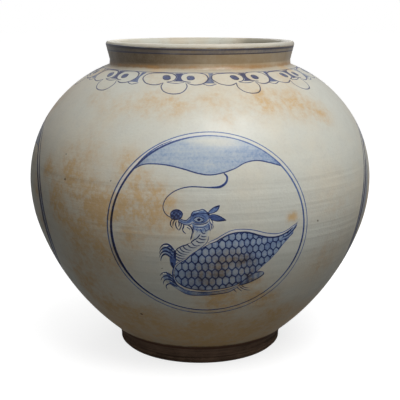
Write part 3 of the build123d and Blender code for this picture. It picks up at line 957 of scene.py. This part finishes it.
def unit_layers():
    """Fills of the waist, the wedge and the eyes, then the lines of volutes and pendant. A hair's
    breadth keeps the two borders of an eye's fill apart at its left tip."""
    layers = [wash(waist_left, waist_right, 0.66, 8), wash(wedge_left, wedge_right, 0.40, 8)]
    for middle, across, up in eyes.values():
        lower, upper = half_round(middle, across, -up), half_round(middle, across, up)
        layers.append(wash(lower[:-1] + (0, HAIR), upper[:-1], 0.50, 7))
        layers.append(brush(lower, 1.3, 0.95, (0.3, 0.1), coat=2))
        layers.append(brush(upper, 1.1, 0.92, (0.1, 0.4), coat=2))
        curl = half_round((middle[0] + 0.25 * across, middle[1]), 0.45 * across, 0.5 * up)
        layers.append(brush(curl, 0.8, 0.95, (0.2, 0.2), coat=3))
    for line, width, ink in ((left_lobe, 1.25, 0.78), (right_lobe, 1.25, 0.76), (waist_arc, 1.0, 0.72),
                             (pendant, 1.1, 0.74), (wedge_arc, 1.0, 0.62)):
        layers.append(brush(line, width, ink, (0.08, 0.08), coat=2, blunt=0.6))
    return layers


def carried(layers, middle, shift, stretch, strength):
    """The same layers carried round the jar, stretched about their middle, lighter or darker."""
    return [(middle + (turn - middle) * stretch + shift, run, ink * strength, *rest)
            for turn, run, ink, *rest in layers]

# %% Carry the unit round the shoulder
ROUND_STEPS = 720
drawn_turn, drawn_pitch = -10.6, 34.4
last_seen, hidden_pitch = 53.0, 32.5
unit_turns = [-47.0, drawn_turn, 22.4] + [last_seen + hidden_pitch * step for step in range(8)]


def band_layers():
    """Every unit is as wide as the room between its neighbours."""
    unit, layers = unit_layers(), []
    around = [unit_turns[-1] - 360] + unit_turns + [unit_turns[0] + 360]
    for number, place in enumerate(unit_turns):
        stretch = (around[number + 2] - around[number]) / 2 / drawn_pitch
        strength = 1.0 + 0.10 * sin(4.1 * number)
        layers += carried(unit, radians(drawn_turn), radians(place - drawn_turn), stretch, strength)
    return layers


def line_round(pixel, width, ink, rise=0.0):
    """A line drawn with the jar turning on a wheel, at the height of one pixel. The ink may be a
    function of the turn, because the brush runs dry and is filled again. At the left the hand
    lets the line rise by this many millimetres, and the full brush makes it broader there."""
    run = on_jar([pixel])[1][0]
    turn = np.linspace(-pi, pi, ROUND_STEPS, endpoint=False)
    inks = ink(turn) if callable(ink) else np.full(len(turn), float(ink))
    runs = run + 0.12 * MILLIMETRE * np.sin(3 * turn + pixel[1])
    runs = runs + rise * MILLIMETRE * hump(turn, -1.25, 0.75)
    full = 0.35 * rise * hump(turn, -1.0, 0.55)
    widths = width * MILLIMETRE * (1 + 0.15 * np.sin(2 * turn + pixel[1]) + full)
    return stroke(turn, runs, widths, inks, coat=2, closed=True)


top_line = (200.0, 72.9)
band = band_layers() + [line_round(top_line, 1.1, 0.62)]
painted.append(painted_piece("collar_band", band, from_above=True))

# %% Lines and wash round the neck
WASH_STEPS = 360
upper_line, wash_top = (200.0, 50.0), (200.0, 49.7)
lower_line, wash_foot = (200.0, 54.2), (200.0, 54.4)


def upper_line_ink(turn):
    """Full at the left, thin in the middle of the front, full again at the right."""
    return 0.86 + 0.14 * hump(turn, -0.9, 0.6) - 0.50 * hump(turn, 0.12, 0.26)


def lower_line_ink(turn):
    """Even, with one gap where the brush ran dry and one full load after it."""
    return 0.84 - 0.5 * hump(turn, -0.28, 0.14) + 0.16 * hump(turn, 0.55, 0.3)


def neck_wash():
    """The thin grey-blue wash between the two lines."""
    columns = 7
    turn, share = np.linspace(-pi, pi, WASH_STEPS, endpoint=False), np.linspace(0, 1, columns)
    low, high = on_jar([wash_foot, wash_top])[1]
    turns, shares = np.meshgrid(turn, share, indexing="ij")
    edge = inside_edge(shares, columns)
    ink = (0.20 + 0.05 * np.sin(3 * turns) + 0.03 * np.sin(11 * turns)) * edge
    return paint_layer(turns, low + (high - low) * shares, ink, edge, closed=True)


neck_layers = [neck_wash(), line_round(upper_line, 2.1, upper_line_ink, 2.0),
               line_round(lower_line, 1.5, lower_line_ink, 0.7)]
painted.append(painted_piece("neck_lines", neck_layers))

# %% [markdown]
# ## Light and floor
# The photograph has soft light from above, in front and the right: the shoulder is bright and the
# lower body falls into shade. Five soft square lamps make it: the strongest stands high at the
# right front, and weaker ones fill from above, the front, the left and behind. A picture of a
# studio wrapped round the scene would give the same, but lamps are set one by one. The floor and
# the air are white to the camera and about half as bright to reflections, and throw little light
# of their own on the jar.

# %% Materials are trees of nodes
class Tree:
    """The node tree of a material or a world, emptied, with short ways to fill it. What goes
    into a node is another node's output, a plain number or a colour of three numbers."""

    def __init__(self, data):
        data.use_nodes = True
        data.node_tree.nodes.clear()
        self.nodes = data.node_tree.nodes
        self.link = data.node_tree.links.new

    def add(self, kind, **values):
        """A new node, with its properties and then its inputs set by name."""
        node = self.nodes.new("ShaderNode" + kind)
        for name, value in values.items():
            if hasattr(node, name):
                setattr(node, name, value)
            else:
                node.inputs[name.replace("_", " ")].default_value = value
        return node

    def put(self, value, socket):
        """Sets an input to a number or a colour, or links an output to it."""
        if isinstance(value, tuple):
            socket.default_value = (*value, 1)
        elif isinstance(value, (int, float)):
            socket.default_value = value
        else:
            self.link(value, socket)

    def math(self, operation, *values):
        """The values joined from left to right by one operation."""
        result = values[0]
        for value in values[1:]:
            node = self.add("Math", operation=operation)
            self.put(result, node.inputs[0])
            self.put(value, node.inputs[1])
            result = node.outputs[0]
        return result

    def plus(self, *values):
        """The sum of the values."""
        return self.math("ADD", *values)

    def times(self, *values):
        """The product of the values."""
        return self.math("MULTIPLY", *values)

    def window(self, value, low, high, start=0.0, end=1.0, kind="SMOOTHSTEP"):
        """Carries a value from one range to another, and holds it at the ends."""
        node = self.add("MapRange", interpolation_type=kind, From_Min=low, From_Max=high)
        for part, name in ((value, "Value"), (start, "To Min"), (end, "To Max")):
            self.put(part, node.inputs[name])
        return node.outputs["Result"]

    def seen(self, camera_level, reflection_level, other):
        """A strength that is one value to the camera, another to reflections and glass, and a
        third to every other ray."""
        path = self.add("LightPath").outputs
        shiny = self.math("MAXIMUM", path["Is Glossy Ray"], path["Is Transmission Ray"])
        reflected = self.window(shiny, 0.0, 1.0, other, reflection_level, "LINEAR")
        return self.window(path["Is Camera Ray"], 0.0, 1.0, reflected, camera_level, "LINEAR")

    def end(self, kind, shader):
        """The last node, which takes the shader as the surface."""
        self.link(shader, self.add("Output" + kind).inputs["Surface"])

# %% Floor
FLOOR_REACH = 14.0
floor_corners = [(-FLOOR_REACH, -FLOOR_REACH, 0), (FLOOR_REACH, -FLOOR_REACH, 0),
                 (FLOOR_REACH, FLOOR_REACH, 0), (-FLOOR_REACH, FLOOR_REACH, 0)]
floor_mesh = bpy.data.meshes.new("studio_floor")
floor_mesh.from_pydata(floor_corners, [], [(0, 1, 2, 3)])
floor = bpy.data.objects.new("studio_floor", floor_mesh)
bpy.context.scene.collection.objects.link(floor)
floor_finish = bpy.data.materials.new("studio_floor")
tree = Tree(floor_finish)
distance = tree.add("VectorMath", operation="LENGTH")
tree.link(tree.add("TexCoord").outputs["Object"], distance.inputs[0])
contact_shade = tree.window(distance.outputs["Value"], 0.11, 0.30, 0.80, 1.0, "LINEAR")
glow = tree.add("Emission")
tree.link(tree.times(tree.seen(1.0, 0.45, 0.0), contact_shade), glow.inputs["Strength"])
matt = tree.add("BsdfDiffuse")
tree.link(tree.seen(0.30, 0.1, 0.12), matt.inputs["Color"])
both = tree.add("AddShader")
tree.link(glow.outputs[0], both.inputs[0])
tree.link(matt.outputs[0], both.inputs[1])
tree.end("Material", both.outputs[0])
floor_mesh.materials.append(floor_finish)
print("floor:", 2 * FLOOR_REACH, "metres wide,", len(tree.nodes), "nodes")

# %% Air round the jar
air = bpy.data.worlds.new("studio_air")
bpy.context.scene.world = air
tree = Tree(air)
background = tree.add("Background", Color=(1, 1, 1, 1))
tree.link(tree.seen(1.0, 0.48, 0.03), background.inputs["Strength"])
tree.end("World", background.outputs[0])
print("air:", len(tree.nodes), "nodes")

# %% Lamps
LAMP_DISTANCE = 1.9


def soft_lamp(name, side, height, width, level):
    """A square lamp aimed at the belly, from a side and height in degrees. Its level is the
    brightness that a white card facing it would have: its power over the square of pi times its
    distance."""
    lamp = bpy.data.lights.new(name, "AREA")
    lamp.size = width
    lamp.energy = level * pi**2 * LAMP_DISTANCE**2
    lamp_object = bpy.data.objects.new(name, lamp)
    turn, rise = radians(side), radians(height)
    level_distance = LAMP_DISTANCE * cos(rise)
    lamp_object.location = (level_distance * sin(turn), -level_distance * cos(turn),
                            belly_height * MILLIMETRE + LAMP_DISTANCE * sin(rise))
    lamp_object.rotation_euler = (pi / 2 - rise, 0.0, turn)
    bpy.context.scene.collection.objects.link(lamp_object)


soft_lamp("key_lamp", 35, 52, 0.9, 0.585)
soft_lamp("top_lamp", 6, 56, 0.6, 0.22)
soft_lamp("front_lamp", 3, 5, 0.9, 0.11)
soft_lamp("left_lamp", -30, 35, 0.9, 0.03)
soft_lamp("back_lamp", 180, 30, 0.9, 0.20)
print("lamps:", sorted(lamp.name for lamp in bpy.data.lights))

# %% [markdown]
# ## The glaze
# The glaze is a thin pale grey-green coat, semi-matt, that the kiln has tinted: ivory clouds,
# ochre patches where iron came through, a brown bloom on the neck and low on the body, and small
# dark specks. Shade is painted into its colour too: under the neck, on the neck's left and along
# its edge over the foot. Noise alone would put the patches anywhere, so how much ochre a place has
# is worked out on the mesh, from soft patches where the photograph shows them, and kept as an
# attribute.
# How they break up is noise in the material. The skin and every painted layer share one material,
# so paint and glaze meet without an edge.

# %% Where the kiln has tinted the glaze
PATCH_SPREAD = 1.15
# Pixel across, pixel down, reach in pixels and strength of what the photograph shows
patches = {
    "shoulder_left": (112, 108, 20, 0.26), "shoulder_mid_left": (150, 102, 20, 0.42),
    "shoulder_mid": (178, 104, 16, 0.45), "shoulder_front": (214, 98, 16, 0.4),
    "shoulder_right": (262, 100, 22, 0.6), "shoulder_far_right": (298, 103, 20, 0.62),
    "shoulder_right_edge": (322, 112, 14, 0.45), "high_left": (96, 98, 14, 0.22),
    "left_upper": (70, 170, 24, 0.55), "left_top": (92, 150, 22, 0.22), "left_edge": (48, 168, 12, 0.7),
    "left_middle": (92, 206, 26, 0.62), "left_outer": (58, 205, 22, 0.6), "left_ring": (101, 214, 12, 0.6),
    "left_lower": (78, 232, 24, 0.55), "left_low": (104, 258, 26, 0.5), "left_lowest": (82, 274, 24, 0.55),
    "under_left": (104, 300, 24, 0.65), "under_shell": (210, 290, 20, 0.34),
    # The four neck_foot patches are partly dirt and partly painted shade under the neck.
    "neck_foot_left": (104, 70, 14, 0.4), "neck_foot_middle": (160, 68, 10, 0.4),
    "neck_foot_right": (238, 68, 10, 0.3), "neck_foot_far": (284, 68, 12, 0.5),
    "hind_foot": (252, 279, 11, 0.8), "collar_left": (160, 77, 16, 0.24),
    "collar_middle": (205, 77, 18, 0.22), "collar_right": (248, 78, 16, 0.2),
    "collar_far": (284, 77, 14, 0.3), "left_rim_high": (38, 150, 12, 0.4), "left_rim": (37, 185, 14, 0.5),
    "left_rim_low": (44, 222, 14, 0.5), "ring_upper": (126, 160, 12, 0.45),
    "inside_upper": (134, 182, 20, 0.5), "inside_left": (122, 206, 18, 0.6),
    "inside_middle": (158, 205, 20, 0.62), "inside_low": (136, 236, 18, 0.42),
    "by_the_beard": (166, 226, 13, 0.28), "shell_left": (204, 276, 15, 0.4),
    "shell_middle": (226, 264, 17, 0.5), "shell_right": (243, 262, 13, 0.4),
    "shell_rust": (217, 273, 6, 0.75), "tail": (293, 217, 6, 0.6), "low_front": (228, 301, 20, 0.8),
    "low_right": (262, 298, 17, 0.62), "low_left": (140, 318, 30, 0.6), "lowest_front": (205, 329, 30, 0.7),
    "lowest_right": (268, 320, 26, 0.75), "right_low": (322, 262, 26, 0.3),
    "above_ring": (226, 118, 16, 0.2), "right_belly": (336, 200, 30, 0.16),
}
# Side in degrees, height and reach in millimetres and strength of what it doesn't show
hidden_patches = {
    "right_side": (78, 190, 46, 0.5), "right_shoulder": (108, 325, 42, 0.5),
    "right_under": (120, 95, 52, 0.6), "back_shoulder": (168, 330, 52, 0.5),
    "back_belly": (200, 205, 60, 0.55), "back_low": (178, 110, 60, 0.6), "left_back": (-128, 250, 56, 0.55),
    "left_low": (-100, 120, 56, 0.6), "left_shoulder": (-84, 320, 40, 0.5),
    "far_shoulder": (-150, 335, 40, 0.5),
}


def patch_list():
    """Middle, reach in metres and strength of every patch. A pixel's reach on the jar is the
    spread, in millimetres."""
    rows = []
    for x, y, reach, strength in patches.values():
        turn, run = on_jar([(x, y)])
        rows.append((glaze_point(turn, run, 0.0)[0], PATCH_SPREAD * reach * MILLIMETRE, strength))
    for side, height, reach, strength in hidden_patches.values():
        run = np.interp(height * MILLIMETRE, front_height, front_run)
        rows.append((glaze_point(radians(side), run, 0.0), reach * MILLIMETRE, strength))
    return rows


kiln_patches = patch_list()


def ochre_level(points):
    """How much ochre: a soft hump round the middle of each patch. What each hump leaves of the
    pale glaze is multiplied, so that patches join and never add up to more than one."""
    pale = np.ones(len(points))
    for middle, reach, strength in kiln_patches:
        pale *= 1 - strength * hump(np.linalg.norm(points - middle, axis=1), 0, reach)
    return 1 - pale


def tint(piece):
    """Writes the level to the piece's points."""
    mesh = piece.data
    points = np.empty(3 * len(mesh.vertices))
    mesh.vertices.foreach_get("co", points)
    level = ochre_level(points.reshape(-1, 3))
    mesh.attributes.new("ochre", "FLOAT", "POINT").data.foreach_set("value", level)


for piece in [skin] + painted:
    tint(piece)
print("tinted", 1 + len(painted), "pieces with", len(kiln_patches), "patches")

# %% Helpers for the finishes
class Finish(Tree):
    """A new material and its tree, with a point's place on the object at hand."""

    def __init__(self, name):
        self.material = bpy.data.materials.new(name)
        super().__init__(self.material)
        self.place = self.add("TexCoord").outputs["Object"]
        axes = self.add("SeparateXYZ")
        self.link(self.place, axes.inputs[0])
        self.x, self.y, self.z = axes.outputs

    def noise(self, scale, detail, roughness, stretch=None):
        """Noise of this many waves in a metre, as one number from 0 to 1. Stretch squeezes it
        along the three directions."""
        place = self.place
        if stretch:
            squeeze = self.add("Mapping", Scale=stretch)
            self.link(place, squeeze.inputs["Vector"])
            place = squeeze.outputs["Vector"]
        texture = self.add("TexNoise", Scale=scale, Detail=detail, Roughness=roughness)
        self.link(place, texture.inputs["Vector"])
        return texture.outputs[0]

    def attribute(self, name):
        """A number kept on the mesh's points."""
        return self.add("Attribute", attribute_name=name).outputs["Fac"]

    def radius(self):
        """Distance from the jar's axis: the root of the sum of the squares of the level axes."""
        squares = [self.times(axis, axis) for axis in (self.x, self.y)]
        return self.math("POWER", self.plus(*squares), 0.5)

    def blend(self, share, first, second):
        """Mixes two colours: the first where the share is zero, the second where it is one."""
        node = self.add("Mix", data_type="RGBA")
        for value, number in ((share, 0), (first, 6), (second, 7)):
            self.put(value, node.inputs[number])
        return node.outputs[2]

    def bumps(self, relief, strength, depth):
        """A direction of the surface that follows a relief of this many metres."""
        node = self.add("Bump", Strength=strength, Distance=depth)
        self.link(relief, node.inputs["Height"])
        return node.outputs[0]

    def coat(self, colour, roughness, specular, normal=None, **values):
        """Ends the tree with a shader of these inputs."""
        shader = self.add("BsdfPrincipled", **values)
        self.link(colour, shader.inputs["Base Color"])
        self.link(roughness, shader.inputs["Roughness"])
        self.put(specular, shader.inputs["Specular IOR Level"])
        if normal:
            self.link(normal, shader.inputs["Normal"])
        self.end("Material", shader.outputs[0])


def from_level(level, *steps):
    """Heights or radii in metres, these many millimetres away from a size of the jar."""
    return [(level + step) * MILLIMETRE for step in steps]

# %% The painted glaze
shoulder_heights, bloom_heights = (0.300, 0.240), (0.110, 0.040)
glaze = Finish("painted_glaze")
clouds = glaze.noise(9.0, 5.0, 0.6)
blotch = glaze.noise(30.0, 7.0, 0.72)
mottle = glaze.noise(70.0, 6.0, 0.70)
fleck = glaze.noise(150.0, 4.0, 0.72)
grain = glaze.noise(420.0, 3.0, 0.65)
streaks = glaze.noise(1.0, 3.0, 0.5, (3.5, 3.5, 125.0))
below_shoulder = glaze.window(glaze.z, *shoulder_heights, 0.15, 1.0)
streaks = glaze.times(glaze.plus(streaks, -0.5), below_shoulder)
uneven_height = glaze.plus(glaze.z, glaze.times(glaze.plus(mottle, -0.5), 0.004))

cool_glaze, warm_glaze = (0.660, 0.675, 0.610), (0.705, 0.675, 0.570)
grey_glaze, streak_grey = (0.590, 0.600, 0.560), (0.40, 0.39, 0.33)
under_neck_shade_brown, bloom_ochre = (0.330, 0.290, 0.220), (0.650, 0.440, 0.220)
stain_ochre = (0.610, 0.420, 0.215)
colour = glaze.blend(glaze.window(clouds, 0.36, 0.64), cool_glaze, warm_glaze)
colour = glaze.blend(glaze.window(mottle, 0.42, 0.72, 0.0, 0.40), colour, grey_glaze)
colour = glaze.blend(glaze.window(streaks, -0.14, 0.14, 0.0, 0.10), colour, streak_grey)

# Painted shade: the shoulder just under the neck is darkened brown, where the collar shades it.
under_neck_shade = glaze.times(glaze.window(glaze.z, *from_level(neck_base_height, -6.2, -0.9), 0.0, 0.65),
                   glaze.window(glaze.z, *from_level(neck_base_height, 3.3, 0.3)))
colour = glaze.blend(under_neck_shade, colour, under_neck_shade_brown)
bloom = glaze.times(glaze.window(glaze.z, *bloom_heights, 0.0, 0.95),
                    glaze.window(blotch, 0.32, 0.66, 0.65, 1.15),
                    glaze.window(fleck, 0.32, 0.66, 0.80, 1.12))
colour = glaze.blend(bloom, colour, bloom_ochre)
broken = glaze.times(glaze.window(blotch, 0.28, 0.68, 0.50, 1.45),
                     glaze.window(mottle, 0.32, 0.68, 0.70, 1.25),
                     glaze.window(fleck, 0.32, 0.66, 0.60, 1.38))
ochre = glaze.window(glaze.times(glaze.attribute("ochre"), broken), -0.15, 0.95, 0.0, 0.95)
colour = glaze.blend(ochre, colour, stain_ochre)

# %% Neck, foot edge and specks
neck_brown, left_neck_shade_brown = (0.370, 0.270, 0.155), (0.112, 0.078, 0.044)
rust_line, lip_tan, glaze_edge_shadow_brown = (0.330, 0.185, 0.070), (0.520, 0.440, 0.330), (0.110, 0.060, 0.034)
dust, speck_brown = (0.42, 0.36, 0.27), (0.10, 0.065, 0.04)
left_neck_shade_sides = (0.040, -0.085)
outward = glaze.window(glaze.radius(), *from_level(neck_base_radius, -6.5, -2.5))
neck = glaze.times(glaze.window(uneven_height, *from_level(neck_base_height, -1.0, 1.3)),
                   glaze.window(uneven_height, *from_level(total_height, -3.5, -5.2)),
                   outward, glaze.window(blotch, 0.3, 0.7, 0.75, 1.05))
colour = glaze.blend(neck, colour, neck_brown)
# Painted shade: the neck's left side, turned away from the lamps, is darkened further.
left_neck_shade = glaze.times(neck, glaze.window(glaze.x, *left_neck_shade_sides, 0.0, 0.92))
colour = glaze.blend(left_neck_shade, colour, left_neck_shade_brown)
dirt = glaze.times(glaze.window(uneven_height, *from_level(neck_base_height, -2.2, 0.8)),
                   glaze.window(uneven_height, *from_level(neck_base_height, 4.8, 1.8)),
                   outward, glaze.window(blotch, 0.36, 0.62, 0.30, 0.95))
colour = glaze.blend(dirt, colour, rust_line)
lip = glaze.times(glaze.window(glaze.z, *from_level(total_height, -5.5, -2.5), 0.0, 0.40),
                  glaze.window(blotch, 0.35, 0.65, 0.5, 1.4))
colour = glaze.blend(lip, colour, lip_tan)
# Painted shadow: the glaze's lowest few millimetres turn dark brown, where its rolled edge overhangs the
# foot.
glaze_edge_shadow = glaze.window(uneven_height, *from_level(glaze_line_height, 2.9, -0.3), 0.0, 0.92)
colour = glaze.blend(glaze_edge_shadow, colour, glaze_edge_shadow_brown)
colour = glaze.blend(glaze.window(grain, 0.45, 0.8, 0.0, 0.18), colour, dust)
speck = glaze.window(glaze.noise(95.0, 2.0, 0.4), 0.785, 0.815, 0.0, 0.85)
colour = glaze.blend(speck, colour, speck_brown)

# %% Cobalt under the glaze
thin_cobalt, deep_cobalt = (0.240, 0.380, 0.600, 1), (0.020, 0.025, 0.070, 1)
mid_cobalt, full_cobalt = (0.118, 0.182, 0.385, 1), (0.050, 0.076, 0.215, 1)
grey_cobalt, stained_cobalt = (0.135, 0.116, 0.128), (0.060, 0.050, 0.044)
clean_glaze = (0.690, 0.695, 0.735)
grey_sides, collar_heights = (0.090, 0.170), (0.325, 0.345)
ink = glaze.times(glaze.attribute("ink"), glaze.window(grain, 0.25, 0.75, 0.84, 1.16),
                  glaze.window(mottle, 0.30, 0.70, 0.90, 1.10))
ramp = glaze.add("ValToRGB")
shades = ramp.color_ramp.elements
shades[0].position, shades[0].color = 0.24, thin_cobalt
shades[1].position, shades[1].color = 0.98, deep_cobalt
shades.new(0.45).color = mid_cobalt
shades.new(0.70).color = full_cobalt
glaze.link(ink, ramp.inputs["Fac"])
at_sides = glaze.window(glaze.math("ABSOLUTE", glaze.x, 0.0), *grey_sides, 0.0, 0.42)
on_collar = glaze.window(glaze.z, *collar_heights, 0.0, 0.42)
inked = glaze.blend(glaze.math("MAXIMUM", at_sides, on_collar), ramp.outputs["Color"], grey_cobalt)
stained = glaze.math("MAXIMUM", glaze.times(ochre, 0.85), glaze.times(neck, 0.80))
inked = glaze.blend(stained, inked, stained_cobalt)
colour = glaze.blend(glaze.window(ink, 0.0, 0.45), colour, inked)
colour = glaze.blend(glaze.window(ink, 0.0, -0.2, 0.0, 0.75), colour, clean_glaze)
print("nodes so far:", len(glaze.nodes))

# %% Gloss and grain of the glaze
GLAZE_IOR = 1.45
shine_heights, gloss_heights = (0.25, 0.31), (0.26, 0.32)
shine = glaze.window(glaze.z, *shine_heights, 0.04, 0.46)
roughness = glaze.plus(glaze.window(mottle, 0.3, 0.7, 0.40, 0.52),
                       glaze.window(glaze.z, *gloss_heights, 0.0, -0.10))
relief = glaze.plus(grain, glaze.times(mottle, 0.8), glaze.times(streaks, 4.0))
glaze.coat(colour, roughness, shine, glaze.bumps(relief, 0.35, 0.0005), IOR=GLAZE_IOR)
for piece in [skin] + painted:
    piece.data.materials.clear()
    piece.data.materials.append(glaze.material)
print("painted glaze:", len(glaze.nodes), "nodes")

# %% [markdown]
# ## Clay, slip and the glaze inside
# The foot is bare: iron in the clay has burnt it dark brown, with paler dry patches. The clay and
# slip inside the wall are seen only if the jar is opened, and are plain pale buff. The glaze
# inside and under the foot is thinner and duller than outside. Flat colours would do for what is
# hidden, but noise costs little and keeps each finish true when a piece is shown by itself.

# %% Finishes of the CAD pieces
scorched_clay = (0.120, 0.062, 0.040)


def clay_finish(name, light, dark, waves, roughness, depth, above_seam=False):
    """Clay of two tones that drift into one another, with grit and a rough skin. Near the foot
    the kiln has scorched it, on the foot ring itself only above the seam."""
    clay = Finish(name)
    drift, grit = clay.noise(waves, 5.0, 0.6), clay.noise(900.0, 3.0, 0.6)
    rings = clay.noise(1.0, 3.0, 0.5, (6.0, 6.0, 330.0))
    tone = clay.plus(clay.times(drift, 0.6), clay.times(rings, 0.9))
    colour = clay.blend(clay.window(tone, 0.52, 0.95), dark, light)
    pits = tuple(0.55 * level for level in dark)
    colour = clay.blend(clay.window(grit, 0.5, 0.8, 0.0, 0.35), colour, pits)
    scorch = clay.window(clay.z, *from_level(glaze_line_height, 9.9, 1.9))
    if above_seam:
        scorch = clay.times(scorch, clay.window(clay.z, *from_level(foot_seam_height, -0.6, 1.4)))
    colour = clay.blend(scorch, colour, scorched_clay)
    roughness = clay.window(drift, 0.3, 0.7, roughness - 0.08, roughness + 0.08)
    clay.coat(colour, roughness, 0.08, clay.bumps(clay.plus(grit, rings), 0.5, depth))
    return clay.material


def inner_glaze_finish(name, pale, warm):
    """The thin inner glaze: two pale tones, brown mottling, a soft gloss and, at the right, a
    grey-brown tint that is partly stain and partly painted shade.
    """
    mottle_brown, stain_and_shade_grey = (0.42, 0.33, 0.22), (0.33, 0.31, 0.25)
    coat = Finish(name)
    clouds, mottle = coat.noise(18.0, 5.0, 0.6), coat.noise(110.0, 5.0, 0.65)
    colour = coat.blend(coat.window(clouds, 0.35, 0.65), pale, warm)
    colour = coat.blend(coat.window(mottle, 0.55, 0.8, 0.0, 0.5), colour, mottle_brown)
    uneven_side = coat.plus(coat.x, coat.times(coat.plus(clouds, -0.5), 0.2))
    # Partly stain, partly painted shade: the inner wall at the right, turned away from the key lamp, is
    # darkened.
    right_stain_and_shade = coat.window(uneven_side, 0.050, 0.115, 0.0, 0.86)
    colour = coat.blend(right_stain_and_shade, colour, stain_and_shade_grey)
    coat.coat(colour, coat.window(mottle, 0.3, 0.7, 0.36, 0.5), 0.15, IOR=GLAZE_IOR)
    return coat.material


fired_clay = clay_finish("fired_clay", (0.66, 0.62, 0.54), (0.56, 0.50, 0.41), 25.0, 0.82, 0.0004)
burnt_foot = clay_finish("burnt_foot", (0.215, 0.140, 0.096), (0.070, 0.044, 0.030), 38.0, 0.78, 0.0007,
                         above_seam=True)
fired_slip = clay_finish("fired_slip", (0.60, 0.55, 0.46), (0.52, 0.46, 0.37), 40.0, 0.85, 0.0003)
inside_glaze = inner_glaze_finish("inside_glaze", (0.70, 0.69, 0.60), (0.68, 0.61, 0.48))
finishes = {
    "lower_bowl": fired_clay, "upper_bowl": fired_clay, "neck_collar": fired_clay,
    "foot_ring": burnt_foot, "waist_slip": fired_slip, "neck_slip": fired_slip,
    "foot_slip": fired_slip, "outer_glaze": glaze.material, "inner_glaze": inside_glaze,
    "base_glaze": inside_glaze,
}
for name, finish in finishes.items():
    mesh = nodes[name].data
    mesh.materials.clear()
    mesh.materials.append(finish)
print("finished CAD pieces:", len(finishes))
